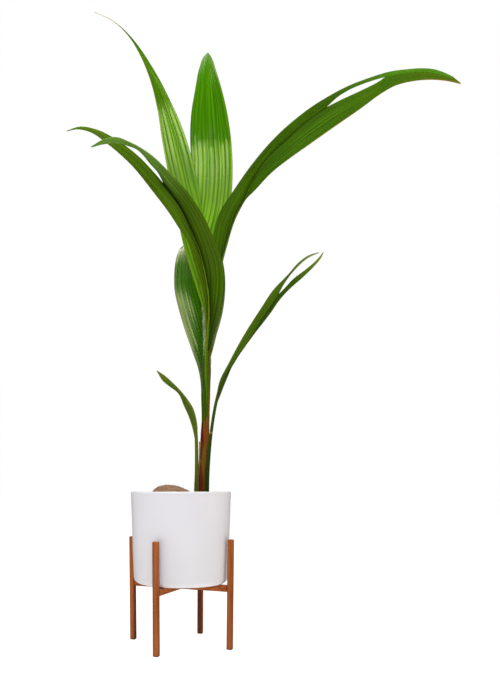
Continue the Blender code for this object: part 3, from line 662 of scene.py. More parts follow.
def palm_petiole(name, left, right, end, scar=None):
    """Living petiole: smooth waxy skin, its two sides of different green, with faint lines 3 mm apart, and
    for one of them the pale ring that an old sheath left, at the given height."""
    made, tree, shader = start_material(name, 0.36, IOR=1.45, Specular_IOR_Level=0.3)
    share = add_node(tree, "ShaderNodeAttribute", attribute_name="limb_share").outputs["Fac"]
    side = add_node(tree, "ShaderNodeAttribute", attribute_name="limb_side").outputs["Fac"]
    lines = stretched_noise(tree, (330.0, 330.0, 9.0), 2.0)
    halves = mixed(tree, ramped(tree, side, -0.25, 0.25), linear(left), linear(right))
    base = mixed(tree, ramped(tree, share, 0.3, 0.85), halves, linear(end))
    dark = tuple(c * 0.5 for c in linear(right)[:3]) + (1.0,)
    colour = mixed(tree, ramped(tree, lines, 0.5, 0.72, 0.0, 0.5), base, dark)
    if scar:
        height = add_node(tree, "ShaderNodeSeparateXYZ", {
            0: add_node(tree, "ShaderNodeTexCoord").outputs["Object"]}).outputs["Z"]
        colour = mixed(tree, ramped(tree, height, scar - 0.001, scar + 0.03, 0.35, 0.0), colour, dark)
        off = add_node(tree, "ShaderNodeMath", {0: height, 1: scar, 2: 0.0022}, operation="COMPARE").outputs[0]
        colour = mixed(tree, off, colour, linear("#85713C"))
    tree.links.new(colour, shader.inputs["Base Color"])
    bumped(tree, shader, lines, 0.0002)
    return made


def palm_leaf(name, look, settings):
    """Living pleated blade: waxy skin with a soft gloss, painted shade in the creases between the pleats,
    streaks along them, whose paler ones on the upright blade are painted highlights, painted shade in the
    fold beside the rib, a thin dry margin and a dried tip. Lighter greens below the upright blade's crimp
    and at the tips of the left and right arching blades are painted light. Its veins stand about half a
    millimetre apart and are drawn 3 mm apart, so that they show."""
    first, second, foot = (linear(colour) for colour in look["greens"])
    tips = [linear(colour) for colour in look["tips"]]
    smooth, dull = look["roughness"]
    dried = look.get("dried", 0.0)
    made, tree, shader = start_material(name, dull, IOR=1.45, Specular_IOR_Level=look["gloss"],
                                        Specular_Tint=tuple(settings.wax))
    place = add_node(tree, "ShaderNodeAttribute", attribute_name="blade_place")
    parts = add_node(tree, "ShaderNodeSeparateXYZ", {0: place.outputs["Vector"]})
    along, side = parts.outputs["Y"], parts.outputs["Z"]
    from_margin = add_node(tree, "ShaderNodeAttribute", attribute_name="from_margin").outputs["Fac"]
    from_rib = add_node(tree, "ShaderNodeAttribute", attribute_name="from_rib").outputs["Fac"]
    lines = add_node(tree, "ShaderNodeUVMap", uv_map="blade").outputs[0]
    pleats = add_node(tree, "ShaderNodeSeparateXYZ", {0: lines}).outputs["X"]

    halves = mixed(tree, side, first, second)
    # Painted light: below the upright blade's crimp its halves take lighter greens
    if "below" in look:
        kinks = [lobe["crimp"][0] for lobe in LEAVES["leaf_upright"]["lobes"]]
        above = add_node(tree, "ShaderNodeMath", {0: along, 1: ramped(tree, side, 0.0, 1.0, *kinks)},
                         operation="SUBTRACT").outputs[0]
        lower = mixed(tree, side, *(linear(colour) for colour in look["below"]))
        halves = mixed(tree, ramped(tree, above, -0.03, 0.01, 1.0, 0.0), halves, lower)
    footed = mixed(tree, ramped(tree, along, 0.0, 0.25, 1.0, 0.0), halves, foot)
    # Tip greens: the tips' own colour, and on the left and right arching blades also painted light and sheen
    begins = ramped(tree, side, 0.0, 1.0, *look.get("tips_from", (0.8, 0.8)))
    past = add_node(tree, "ShaderNodeMath", {0: along, 1: begins}, operation="SUBTRACT").outputs[0]
    tipped = mixed(tree, ramped(tree, past, 0.0, 0.2, 0.0, 0.85), footed, mixed(tree, side, *tips))

    # Streaks along the pleats, darker and paler by turns: partly tone, and the paler ones, turned up on the
    # upright blade, painted highlights
    streak_place = add_node(tree, "ShaderNodeMapping", {"Vector": lines, "Scale": (1.9, 0.5, 1.0)})
    streak = add_node(tree, "ShaderNodeTexNoise",
                      {"Vector": streak_place.outputs[0], "Scale": 1.0, "Detail": 2.0}).outputs["Fac"]
    patches = stretched_noise(tree, (9.0, 9.0, 6.0), 2.0)
    streaks = look.get("streaks", 1.0)
    streaked = add_node(tree, "ShaderNodeMix", {
        0: 1.0, 6: tipped, 7: add_node(tree, "ShaderNodeCombineColor", {
            0: ramped(tree, streak, 0.3, 0.7, 1.0 - 0.3 * streaks, 1.0 + 0.36 * streaks),
            1: ramped(tree, streak, 0.3, 0.7, 1.0 - 0.2 * streaks, 1.0 + 0.18 * streaks),
            2: ramped(tree, streak, 0.3, 0.7, 1.0 - 0.2 * streaks, 1.0 + 0.3 * streaks)}).outputs[0],
    }, data_type="RGBA", blend_type="MULTIPLY").outputs[2]
    yellowed = mixed(tree, ramped(tree, patches, 0.45, 0.75, 0.0, 0.35), streaked,
                     tuple(min(1.0, c * k) for c, k in zip(second[:3], (1.7, 1.25, 1.0))) + (1.0,))

    dark = tuple(c * 0.3 for c in foot[:3]) + (1.0,)
    # Painted shade in the fold beside the rib: each half is darkened towards the rib
    groove = ramped(tree, side, 0.0, 1.0, *look["fold_shades"])
    wide = ramped(tree, from_rib, 2.0, 26.0, 0.55, 0.0)
    narrow = add_node(tree, "ShaderNodeMath", {0: wide, 1: ramped(tree, from_rib, 1.5, 6.0, 0.45, 0.0)},
                      operation="ADD").outputs[0]
    fold_shade_mask = add_node(tree, "ShaderNodeMath", {0: narrow, 1: groove}, operation="MULTIPLY").outputs[0]
    fold_shaded = mixed(tree, fold_shade_mask, yellowed, dark)
    phase = add_node(tree, "ShaderNodeMath", {0: pleats, 1: 3.0}, operation="MULTIPLY").outputs[0]
    vein = add_node(tree, "ShaderNodeMath", {0: phase, 1: 0.5}, operation="PINGPONG").outputs[0]
    veined = mixed(tree, ramped(tree, vein, 0.0, 0.2, 0.08, 0.0), fold_shaded, dark)
    # Painted shade in the creases: the valleys between the pleats are darkened
    crease = add_node(tree, "ShaderNodeMath", {0: pleats, 1: 0.5}, operation="PINGPONG").outputs[0]
    crease_shaded = mixed(tree, ramped(tree, crease, 0.02, 0.19, look["crease_shades"], 0.0), veined, dark)
    thin = add_node(tree, "ShaderNodeMath", {
        0: ramped(tree, from_margin, 0.5, 4.0, 1.0, 0.0),
        1: ramped(tree, side, 0.0, 1.0, *look.get("margins", (0.2, 0.2)))}, operation="MULTIPLY").outputs[0]
    edged = mixed(tree, thin, crease_shaded, tuple(settings.margin))
    if dried:
        ragged = add_node(tree, "ShaderNodeMath", {0: streak, 1: -0.04, 2: along}, operation="MULTIPLY_ADD")
        edged = mixed(tree, ramped(tree, ragged.outputs[0], 0.98 - dried, 0.985 - 0.5 * dried), edged,
                      tuple(settings.dry))
    if "thread" in look:
        first_only = add_node(tree, "ShaderNodeMath", {0: side, 1: -1.0, 2: along}, operation="MULTIPLY_ADD")
        edged = mixed(tree, ramped(tree, first_only.outputs[0], look["thread"], look["thread"] + 0.04), edged,
                      tuple(settings.thread))
    tree.links.new(edged, shader.inputs["Base Color"])

    uneven = ramped(tree, streak, 0.3, 0.7, dull, smooth)
    first_dull, last_dull, foot_roughness = look.get("dulled", (0.12, 0.4, 0.6))
    bloom = ramped(tree, along, first_dull, last_dull, foot_roughness, 0.0)
    ends = add_node(tree, "ShaderNodeMath", {0: bloom, 1: ramped(tree, along, 0.9, 1.0, 0.0, 0.36)},
                    operation="MAXIMUM").outputs[0]
    tree.links.new(add_node(tree, "ShaderNodeMath", {0: uneven, 1: ends}, operation="MAXIMUM").outputs[0],
                   shader.inputs["Roughness"])
    return made


# Lines

def travelled_along(points, measured):
    """Length of the chain from its first point to each point, on the leading coordinates."""
    steps = np.diff(np.asarray(points, dtype=float)[:, :measured], axis=0)
    return np.concatenate([[0.0], np.cumsum(np.linalg.norm(steps, axis=1))])


def curve_through(points, fractions, measured=None):
    """Points at the given fractions of the length of a smooth curve through the given points."""
    known = np.array(points, dtype=float)
    measured = measured or known.shape[1]
    knots = travelled_along(known, known.shape[1])
    slopes = np.gradient(known, knots, axis=0)
    fine = []
    for i in range(len(known) - 1):
        span = knots[i + 1] - knots[i]
        t = np.linspace(0.0, 1.0, SPAN_STEPS + 1)[:, None]
        fine.append((2 * t**3 - 3 * t**2 + 1) * known[i] + (t**3 - 2 * t**2 + t) * span * slopes[i]
                    + (3 * t**2 - 2 * t**3) * known[i + 1] + (t**3 - t**2) * span * slopes[i + 1])
    fine = np.concatenate([part[:-1] for part in fine] + [known[-1:]])
    travelled = travelled_along(fine, measured)
    wanted = np.asarray(fractions) * travelled[-1]
    return np.stack([np.interp(wanted, travelled, fine[:, k]) for k in range(fine.shape[1])], axis=1)


def carried(points):
    """Points of the upright sheet carried along the eye's line to their depths, in mm."""
    scale = (EYE_DISTANCE + points[:, 2]) / EYE_DISTANCE
    return np.stack([points[:, 0] * scale, points[:, 2],
                     EYE_HEIGHT + (points[:, 1] - EYE_HEIGHT) * scale], axis=1)


def margin_points(sheet, rib, half_width, side):
    """Where the eye's lines through sheet points lie the true half width from the rib."""
    eye = np.array([0.0, -EYE_DISTANCE, EYE_HEIGHT])
    line = np.stack([sheet[:, 0], np.full(len(sheet), EYE_DISTANCE), sheet[:, 1] - EYE_HEIGHT], axis=1)
    reach = (line * line).sum(axis=1)
    along = (line * (rib - eye)).sum(axis=1)
    spare = along**2 - reach * (((rib - eye) ** 2).sum(axis=1) - half_width**2)
    return eye + line * ((along + side * np.sqrt(np.maximum(spare, 0.0))) / reach)[:, None]


def leaf_lines(leaf, row_length):
    """Rows of rib or inner points and margin points for each half, and the row of the cleft."""
    lobes = leaf["lobes"]
    divided = "inner" in lobes[0]
    measured = len(lobes[0]["margin"][0])
    rib_length = travelled_along(leaf["rib"], measured)[-1]
    lobe_length = 0.0
    if divided:
        lobe_length = sum(travelled_along([leaf["rib"][-1]] + lobe["inner"], measured)[-1]
                          for lobe in lobes) / len(lobes)
    rows = round((rib_length + lobe_length) / row_length)
    cleft = round((rows - 1) * rib_length / (rib_length + lobe_length))
    rib = curve_through(leaf["rib"], np.linspace(0, 1, cleft + 1), measured)
    halves = []
    for lobe in lobes:
        inner = rib
        if divided:
            lobe_rows = curve_through([leaf["rib"][-1]] + lobe["inner"], np.linspace(0, 1, rows - cleft),
                                      measured)
            inner = np.concatenate([rib, lobe_rows[1:]])
        share = travelled_along(inner, measured)
        share /= share[-1]
        outer = curve_through(lobe["margin"], share, measured)
        inner_points = carried(inner)
        if "half_width" in lobe:
            widths = np.interp(share, np.linspace(0, 1, len(lobe["half_width"])), lobe["half_width"])
            outer_points = margin_points(outer, inner_points, widths, lobe["side"])
        else:
            outer_points = carried(outer)
        halves.append([inner_points, outer_points])
    tangent = halves[0][0][1] - halves[0][0][0]
    tangent /= np.linalg.norm(tangent)
    steps = np.linspace(1.0, 0.0, FOOT_ROWS, endpoint=False)[:, None]
    for half in halves:
        inner_points, outer_points = half
        offset = outer_points[0] - inner_points[0]
        outer_points[0] = inner_points[0] + offset - tangent * (offset @ tangent)
        offset = outer_points[0] - inner_points[0]
        foot = inner_points[0] - tangent * FOOT_RUN * steps
        half[0] = np.concatenate([foot, inner_points])
        half[1] = np.concatenate([foot + offset * (1 - steps), outer_points])
    return halves, cleft + FOOT_ROWS


def in_place(points):
    """Points in mm from the pot's axis, in metres in the row's frame."""
    return np.asarray(points) * MM + np.array(AXIS)


# Pot, soil and nut

def arc(cx, cz, radius, start, end, steps):
    """Points of an arc in the profile plane, angles in degrees."""
    turns = np.radians(np.linspace(start, end, steps + 1))
    return [(cx + radius * math.cos(t), cz + radius * math.sin(t)) for t in turns]


def wall_radius(z, inset=0.0):
    """Outer radius of the drafted pot wall at a height, less an inset."""
    share = (z - POT_LOW.z) / (POT_HIGH.z - POT_LOW.z)
    return BASE_RADIUS + (RIM_RADIUS - BASE_RADIUS) * share - inset


def turned_mesh(name, profile, segments, sharp=35):
    """A closed mesh turned about the pot's axis from a profile that starts and ends on the axis."""
    bm = bmesh.new()
    verts = [bm.verts.new((x, 0.0, z)) for x, z in profile]
    edges = [bm.edges.new(pair) for pair in zip(verts, verts[1:])]
    bmesh.ops.spin(bm, geom=verts + edges, cent=(0, 0, 0), axis=(0, 0, 1), angle=math.tau,
                   steps=segments, use_merge=True, use_duplicate=False)
    bmesh.ops.remove_doubles(bm, verts=bm.verts, dist=1e-6)
    bmesh.ops.recalc_face_normals(bm, faces=bm.faces)
    bmesh.ops.translate(bm, verts=bm.verts, vec=AXIS)
    mesh = bpy.data.meshes.new(name)
    bm.to_mesh(mesh)
    bm.free()
    mesh.shade_smooth()
    mesh.set_sharp_from_angle(angle=math.radians(sharp))
    return mesh


def pot_profile(settings):
    """Half section of the pot: foot ring, heel, drafted wall, shallow lip band, round rim and inside."""
    low, top = POT_LOW.z, POT_HIGH.z
    heel, wall = settings.heel, settings.wall
    rim = wall / 2
    floor = low + 0.011
    inner_heel = heel - 0.5 * wall
    profile = [(0.0, low + 0.0015), (0.085, low + 0.0015), (0.087, low)]
    profile += arc(wall_radius(low + heel) - heel, low + heel, heel, -90, 0, 12)
    band = top - settings.lip
    profile += [(wall_radius(band) - 0.00005, band - 0.0015), (wall_radius(band) - 0.0003, band),
                (wall_radius(band) - 0.00005, band + 0.0015)]
    profile += arc(wall_radius(top) - rim, top - rim, rim, 0, 180, 12)
    profile += arc(wall_radius(floor + inner_heel, wall) - inner_heel, floor + inner_heel, inner_heel,
                   0, -90, 8)
    profile.append((0.0, floor))
    return profile


def soil_mesh(name, lumps=0.0035, rings=46, segments=120):
    """The potting mix: an uneven top that falls a little towards the wall, closed beneath."""
    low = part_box("potting_soil")[0].z
    radius = wall_radius(SOIL_TOP, 0.0083)
    bm = bmesh.new()
    centre = bm.verts.new((0.0, 0.0, SOIL_TOP))
    loops = []
    for ring in range(1, rings + 1):
        r = radius * ring / rings
        loops.append([bm.verts.new((r * math.cos(a), r * math.sin(a), SOIL_TOP))
                      for a in np.linspace(0, math.tau, segments, endpoint=False)])
    for vert in bm.verts:
        edge = min(1.0, (radius - vert.co.xy.length) / 0.01)
        lump = noise.noise(vert.co * 60) + 0.5 * noise.noise(vert.co * 150)
        vert.co.z += lumps * edge * (lump - 0.8)
    for i in range(segments):
        bm.faces.new([centre, loops[0][i], loops[0][(i + 1) % segments]])
    for inner, outer in zip(loops, loops[1:]):
        for i in range(segments):
            j = (i + 1) % segments
            bm.faces.new([inner[i], outer[i], outer[j], inner[j]])
    foot_radius = wall_radius(low + 0.02, 0.0083)
    bottom = [bm.verts.new((foot_radius * math.cos(a), foot_radius * math.sin(a), low))
              for a in np.linspace(0, math.tau, segments, endpoint=False)]
    for i in range(segments):
        j = (i + 1) % segments
        bm.faces.new([loops[-1][i], bottom[i], bottom[j], loops[-1][j]])
    bm.faces.new(bottom[::-1])
    bmesh.ops.recalc_face_normals(bm, faces=bm.faces)
    bmesh.ops.translate(bm, verts=bm.verts, vec=AXIS)
    mesh = bpy.data.meshes.new(name)
    bm.to_mesh(mesh)
    bm.free()
    mesh.shade_smooth()
    return mesh


def nut_mesh(name, segments=150, rings=96):
    """The husk: an ovoid lying along X with three soft ridges, a fibrous skin and a puckered nose."""
    low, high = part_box("coconut")
    left, right, deep, tall, ridge, lean = 0.067, 0.074, 0.071, 0.066, 0.015, 0.15
    centre = Vector((low.x + left, (low.y + high.y) / 2, low.z + tall))
    bm = bmesh.new()
    bmesh.ops.create_uvsphere(bm, u_segments=segments, v_segments=rings, radius=1.0)
    for vert in bm.verts:
        y, z, x = vert.co
        swell = 1.0 + ridge * math.cos(3 * math.atan2(z, y) - math.radians(90)) * (1 - x * x)
        place = Vector((x * (right if x > 0 else left), y * swell * deep, z * swell * tall))
        place.x -= lean * max(place.z, 0.0) * (1 - x * x)
        grain = noise.noise(Vector((place.x * 60, place.y * 420, place.z * 420)))
        dents = noise.noise(place * 45)
        place *= 1 + (0.0006 * grain + 0.0016 * dents - 0.0016) / tall
        vert.co = place + centre
    bmesh.ops.recalc_face_normals(bm, faces=bm.faces)
    mesh = bpy.data.meshes.new(name)
    bm.to_mesh(mesh)
    bm.free()
    mesh.shade_smooth()
    return mesh


def crumbs_tree():
    """Scatters crumbs of uneven size over a surface."""
    tree, given = start_tree("Scattered crumbs", {
        "Density": ("NodeSocketFloat", 1000.0), "Crumb": ("NodeSocketFloat", 0.004),
        "Seed": ("NodeSocketInt", 0), "Material": ("NodeSocketMaterial", None)})
    points = add_node(tree, "GeometryNodeDistributePointsOnFaces",
                      {"Mesh": given["Geometry"], "Density": given["Density"], "Seed": given["Seed"]})
    up = add_node(tree, "ShaderNodeSeparateXYZ", {0: points.outputs["Normal"]}).outputs["Z"]
    crumb = add_node(tree, "GeometryNodeMeshIcoSphere", {"Radius": 0.5, "Subdivisions": 1})
    turn = add_node(tree, "FunctionNodeRandomValue", {1: (math.tau,) * 3, "Seed": given["Seed"]},
                    data_type="FLOAT_VECTOR")
    size = add_node(tree, "FunctionNodeRandomValue", {0: (0.35, 0.35, 0.25), 1: (1.6, 1.3, 0.9), "Seed": 7},
                    data_type="FLOAT_VECTOR")
    scale = add_node(tree, "ShaderNodeVectorMath", {0: size.outputs[0], "Scale": given["Crumb"]},
                     operation="SCALE")
    upward = add_node(tree, "ShaderNodeMath", {0: up, 1: 0.5}, operation="GREATER_THAN")
    crumbs = add_node(tree, "GeometryNodeInstanceOnPoints", {
        "Points": points.outputs["Points"], "Selection": upward.outputs[0],
        "Instance": crumb.outputs["Mesh"],
        "Rotation": add_node(tree, "FunctionNodeEulerToRotation", {0: turn.outputs[0]}).outputs[0],
        "Scale": scale.outputs[0]})
    return end_tree(tree, crumbs.outputs[0], given)


def fibres_tree():
    """Lays short tapering fibres over a surface, along a direction and a little astray."""
    tree, given = start_tree("Clinging fibres", {
        "Density": ("NodeSocketFloat", 1000.0), "Length": ("NodeSocketFloat", 0.01),
        "Thickness": ("NodeSocketFloat", 0.0004), "Stray": ("NodeSocketFloat", 0.2),
        "Along": ("NodeSocketVector", (0.0, 0.0, 1.0)), "Seed": ("NodeSocketInt", 0),
        "Material": ("NodeSocketMaterial", None)})
    points = add_node(tree, "GeometryNodeDistributePointsOnFaces",
                      {"Mesh": given["Geometry"], "Density": given["Density"], "Seed": given["Seed"]})
    normal = points.outputs["Normal"]
    rise = add_node(tree, "ShaderNodeVectorMath", {0: given["Along"], 1: normal}, operation="DOT_PRODUCT")
    lift = add_node(tree, "ShaderNodeVectorMath", {0: normal, "Scale": rise.outputs["Value"]},
                    operation="SCALE")
    flat = add_node(tree, "ShaderNodeVectorMath", {0: given["Along"], 1: lift.outputs[0]},
                    operation="SUBTRACT")
    aligned = add_node(tree, "FunctionNodeAlignRotationToVector", {"Vector": flat.outputs[0]}, axis="Z")
    less = add_node(tree, "ShaderNodeMath", {0: given["Stray"], 1: -1.0}, operation="MULTIPLY")
    astray = add_node(tree, "FunctionNodeRandomValue", {"Seed": given["Seed"]}, data_type="FLOAT_VECTOR")
    tree.links.new(less.outputs[0], astray.inputs[0])
    tree.links.new(given["Stray"], astray.inputs[1])
    turned = add_node(tree, "FunctionNodeRotateRotation", {
        "Rotation": aligned.outputs[0],
        "Rotate By": add_node(tree, "FunctionNodeEulerToRotation", {0: astray.outputs[0]}).outputs[0]},
        rotation_space="LOCAL")
    fibre = add_node(tree, "GeometryNodeMeshCone", {
        "Vertices": 4, "Side Segments": 2, "Radius Top": 0.12, "Radius Bottom": 0.5, "Depth": 1.0})
    longer = add_node(tree, "FunctionNodeRandomValue", {2: 0.5, 3: 1.5, "Seed": 3})
    length = add_node(tree, "ShaderNodeMath", {0: given["Length"], 1: longer.outputs["Value"]},
                      operation="MULTIPLY")
    size = add_node(tree, "ShaderNodeCombineXYZ",
                    {0: given["Thickness"], 1: given["Thickness"], 2: length.outputs[0]})
    strands = add_node(tree, "GeometryNodeInstanceOnPoints", {
        "Points": points.outputs["Points"], "Instance": fibre.outputs["Mesh"],
        "Rotation": turned.outputs[0], "Scale": size.outputs[0]})
    return end_tree(tree, strands.outputs[0], given)


# Stem and petioles

def wrapped_tube(name, path, top, settings, rings, around, overlap=0.8):
    """A closed tube of ridged, wrapped sheath round a path of (x, depth, z, radius), in mm.

    top gives the height of its upper edge for each turn about the stem, and overlap the thickness of the
    edge that winds round it. Its points carry how far right they face and how high they stand.
    """
    path = np.array(path)
    angles = np.linspace(0, math.tau, around, endpoint=False)
    points, turns, rises = [], [], []
    for share in np.linspace(0, 1, rings):
        for a in angles:
            z = path[0, 2] + (top(a) - path[0, 2]) * share
            x, depth, radius = (np.interp(z, path[:, 2], path[:, k]) for k in (0, 1, 3))
            seam = math.radians(250) + (z - path[0, 2]) * 0.006
            past = ((a - seam) % math.tau) / math.tau
            ridge = noise.noise(Vector((math.cos(a) * 4.5, math.sin(a) * 4.5, z * 0.012)))
            bulk = noise.noise(Vector((math.cos(a) * 1.2, math.sin(a) * 1.2, z * 0.02)))
            r = radius * (1 + 0.05 * bulk) + settings.ridge / MM * 2 * ridge + overlap * (0.5 - past)
            points.append((x + r * math.cos(a), depth + r * math.sin(a), z))
            turns.append(math.cos(a))
            rises.append(share)
    faces = []
    for i in range(rings - 1):
        for k in range(around):
            n = (k + 1) % around
            faces.append((i * around + k, i * around + n, (i + 1) * around + n, (i + 1) * around + k))
    faces.append(tuple(range(around))[::-1])
    faces.append(tuple((rings - 1) * around + k for k in range(around)))
    mesh = bpy.data.meshes.new(name)
    mesh.from_pydata(in_place(points).tolist(), [], faces)
    mesh.attributes.new("stem_turn", "FLOAT", "POINT").data.foreach_set("value", turns)
    mesh.attributes.new("stem_rise", "FLOAT", "POINT").data.foreach_set("value", rises)
    mesh.shade_smooth()
    mesh.set_sharp_from_angle(angle=math.radians(60))
    return mesh


def sheath_top(angle):
    """Height of the sheath's ragged upper edge, in mm: it rises to the right and runs up that side."""
    right = math.cos(angle)
    tongue = min(1.0, max(0.0, (right - 0.62) / 0.24))
    return 574 + 15 * right + 3 * math.sin(9 * angle) + 130 * tongue


def scrap_mesh(name, rows=60, thickness=0.6):
    """The dry edge of the lowest sheath: a narrow curled strip up the stem's left side, torn at its top."""
    path = np.array(SHEATH)
    across = np.linspace(0, 1, 7)
    sides = []
    for lift in (0.0, thickness):
        for share in np.linspace(0, 1, rows):
            z = 372.4 + 142 * share
            x, depth, radius = (np.interp(z, path[:, 2], path[:, k]) for k in (0, 1, 3))
            torn = 1.5 * math.sin(9 * share) + 2.5 * max(0.0, share - 0.93) / 0.07
            for part in across:
                turn = math.radians(172 + 48 * part)
                r = radius + 0.9 + lift + (1 - part) * torn * 0.5 + 0.4 * math.sin(14 * share + 3 * part)
                sides.append((x + r * math.cos(turn), depth + r * math.sin(turn), z + 3 * part * share))
    count, wide = rows, len(across)
    faces = []
    for i in range(count - 1):
        for k in range(wide - 1):
            quad = [i * wide + k, i * wide + k + 1, (i + 1) * wide + k + 1, (i + 1) * wide + k]
            faces += [quad, [count * wide + corner for corner in quad[::-1]]]
    rim = [k for k in range(wide)] + [i * wide + wide - 1 for i in range(1, count)]
    rim += [(count - 1) * wide + k for k in range(wide - 2, -1, -1)] + [i * wide for i in range(count - 2, 0, -1)]
    for here, there in zip(rim, rim[1:] + rim[:1]):
        faces.append([there, here, count * wide + here, count * wide + there])
    mesh = bpy.data.meshes.new(name)
    mesh.from_pydata(in_place(sides).tolist(), [], faces)
    mesh.shade_smooth()
    return mesh


def limb_path(name, points, radii):
    """A chain of edges through points in mm, with a radius in metres and a share of its length."""
    mesh = bpy.data.meshes.new(name)
    mesh.from_pydata(in_place(points).tolist(), [(i, i + 1) for i in range(len(points) - 1)], [])
    travelled = travelled_along(points, 3)
    mesh.attributes.new("limb_radius", "FLOAT", "POINT").data.foreach_set("value", np.array(radii) * MM)
    mesh.attributes.new("limb_share", "FLOAT", "POINT").data.foreach_set("value", travelled / travelled[-1])
    return mesh


def limb_tree():
    """Sweeps a channelled and keeled section along a path, at the path's own radius."""
    tree, given = start_tree("Channelled limb", {
        "Channel": ("NodeSocketFloat", 0.5), "Keel": ("NodeSocketFloat", 0.1),
        "Facing": ("NodeSocketVector", (0.0, -1.0, 0.0)), "Sides": ("NodeSocketInt", 24),
        "Material": ("NodeSocketMaterial", None)})
    path = add_node(tree, "GeometryNodeMeshToCurve", {"Mesh": given["Geometry"]})
    facing = add_node(tree, "GeometryNodeSetCurveNormal", {"Curve": path.outputs[0]}, mode="FREE")
    tree.links.new(given["Facing"], facing.inputs["Normal"])
    circle = add_node(tree, "GeometryNodeCurvePrimitiveCircle", {"Resolution": given["Sides"], "Radius": 1.0})
    place = add_node(tree, "ShaderNodeSeparateXYZ", {0: add_node(tree, "GeometryNodeInputPosition").outputs[0]})
    across = add_node(tree, "ShaderNodeMath", {0: place.outputs["Y"], 1: place.outputs["Y"]},
                      operation="MULTIPLY")
    inward = add_node(tree, "ShaderNodeMath", {0: 1.0, 1: across.outputs[0]}, operation="SUBTRACT")
    hollow = add_node(tree, "ShaderNodeMath", {0: inward.outputs[0], 1: given["Channel"]},
                      operation="MULTIPLY")
    dug = add_node(tree, "ShaderNodeMath", {0: hollow.outputs[0], 1: -1.6}, operation="MULTIPLY")
    drawn = add_node(tree, "ShaderNodeMath", {0: inward.outputs[0], 1: given["Keel"]},
                     operation="MULTIPLY")
    back = add_node(tree, "ShaderNodeMath", {0: drawn.outputs[0], 1: -1.0}, operation="MULTIPLY")
    front = add_node(tree, "ShaderNodeMath", {0: place.outputs["X"], 1: 0.0}, operation="GREATER_THAN")
    shift = add_node(tree, "ShaderNodeMix", {0: front.outputs[0], 2: back.outputs[0], 3: dug.outputs[0]})
    moved = add_node(tree, "ShaderNodeCombineXYZ", {0: shift.outputs[0]})
    sided = add_node(tree, "GeometryNodeStoreNamedAttribute", {
        "Geometry": circle.outputs[0], "Name": "limb_side", "Value": place.outputs["Y"]},
        data_type="FLOAT", domain="POINT")
    section = add_node(tree, "GeometryNodeSetPosition",
                       {"Geometry": sided.outputs[0], "Offset": moved.outputs[0]})
    radius = add_node(tree, "GeometryNodeInputNamedAttribute", {"Name": "limb_radius"})
    limb = add_node(tree, "GeometryNodeCurveToMesh", {
        "Curve": facing.outputs[0], "Profile Curve": section.outputs[0],
        "Scale": radius.outputs["Attribute"], "Fill Caps": True})
    return end_tree(tree, limb.outputs[0], given)


# Blades

def pleats_tree():
    """Raises a smooth blade into pleats that follow its margins."""
    tree, given = start_tree("Pleated blade", {
        "Depth": ("NodeSocketFloat", 0.001), "Sharpness": ("NodeSocketFloat", 1.7),
        "Material": ("NodeSocketMaterial", None)})
    count = add_node(tree, "GeometryNodeInputNamedAttribute", {"Name": "pleat_count"})
    fade = add_node(tree, "GeometryNodeInputNamedAttribute", {"Name": "pleat_fade"})
    phase = add_node(tree, "ShaderNodeMath", {0: count.outputs["Attribute"], 1: 0.5}, operation="PINGPONG")
    from_crest = add_node(tree, "ShaderNodeMath", {0: phase.outputs[0], 1: -2.0, 2: 1.0},
                          operation="MULTIPLY_ADD")
    curved = add_node(tree, "ShaderNodeMath", {0: from_crest.outputs[0], 1: given["Sharpness"]},
                      operation="POWER")
    height = add_node(tree, "ShaderNodeMath", {0: 0.5, 1: curved.outputs[0]}, operation="SUBTRACT")
    deep = add_node(tree, "ShaderNodeMath", {0: height.outputs[0], 1: given["Depth"]},
                    operation="MULTIPLY")
    faded = add_node(tree, "ShaderNodeMath", {0: deep.outputs[0], 1: fade.outputs["Attribute"]},
                     operation="MULTIPLY")
    normal = add_node(tree, "GeometryNodeInputNormal")
    offset = add_node(tree, "ShaderNodeVectorMath",
                      {0: normal.outputs["Normal"], "Scale": faded.outputs[0]}, operation="SCALE")
    moved = add_node(tree, "GeometryNodeSetPosition",
                     {"Geometry": given["Geometry"], "Offset": offset.outputs[0]})
    return end_tree(tree, moved.outputs[0], given)


def half_surface(inner, outer, flip, columns):
    """Points across one half of a blade, from the inner edge to the margin, with a slight camber."""
    across = outer - inner
    width = np.linalg.norm(across, axis=1)
    normal = np.cross(np.gradient(inner, axis=0), across) * flip
    normal /= np.maximum(np.linalg.norm(normal, axis=1), 1e-9)[:, None]
    shares = np.linspace(0, 1, columns + 1)
    lift = CAMBER * width[:, None] * 4 * shares * (1 - shares)
    points = inner[:, None] + across[:, None] * shares[None, :, None] + normal[:, None] * lift[..., None]
    return points, width, normal


def crimped(counts, along, length, kink, depth):
    """How far a crimp sets the blade back below it, each pleat folding at its own height, in mm."""
    own = kink + 0.016 * np.sin(np.floor(counts) * 2.3) - 0.01 * np.cos(np.floor(counts) * 1.1)
    start, deepest = 0.42 * kink, 0.7 * kink
    rise = np.clip((along - start) / (deepest - start), 0, 1)
    fall = np.clip((own - along) / (own - deepest), 0, 1)
    return 0.04 * depth * length * (kink - deepest) * np.minimum(rise * rise * (3 - 2 * rise), fall)


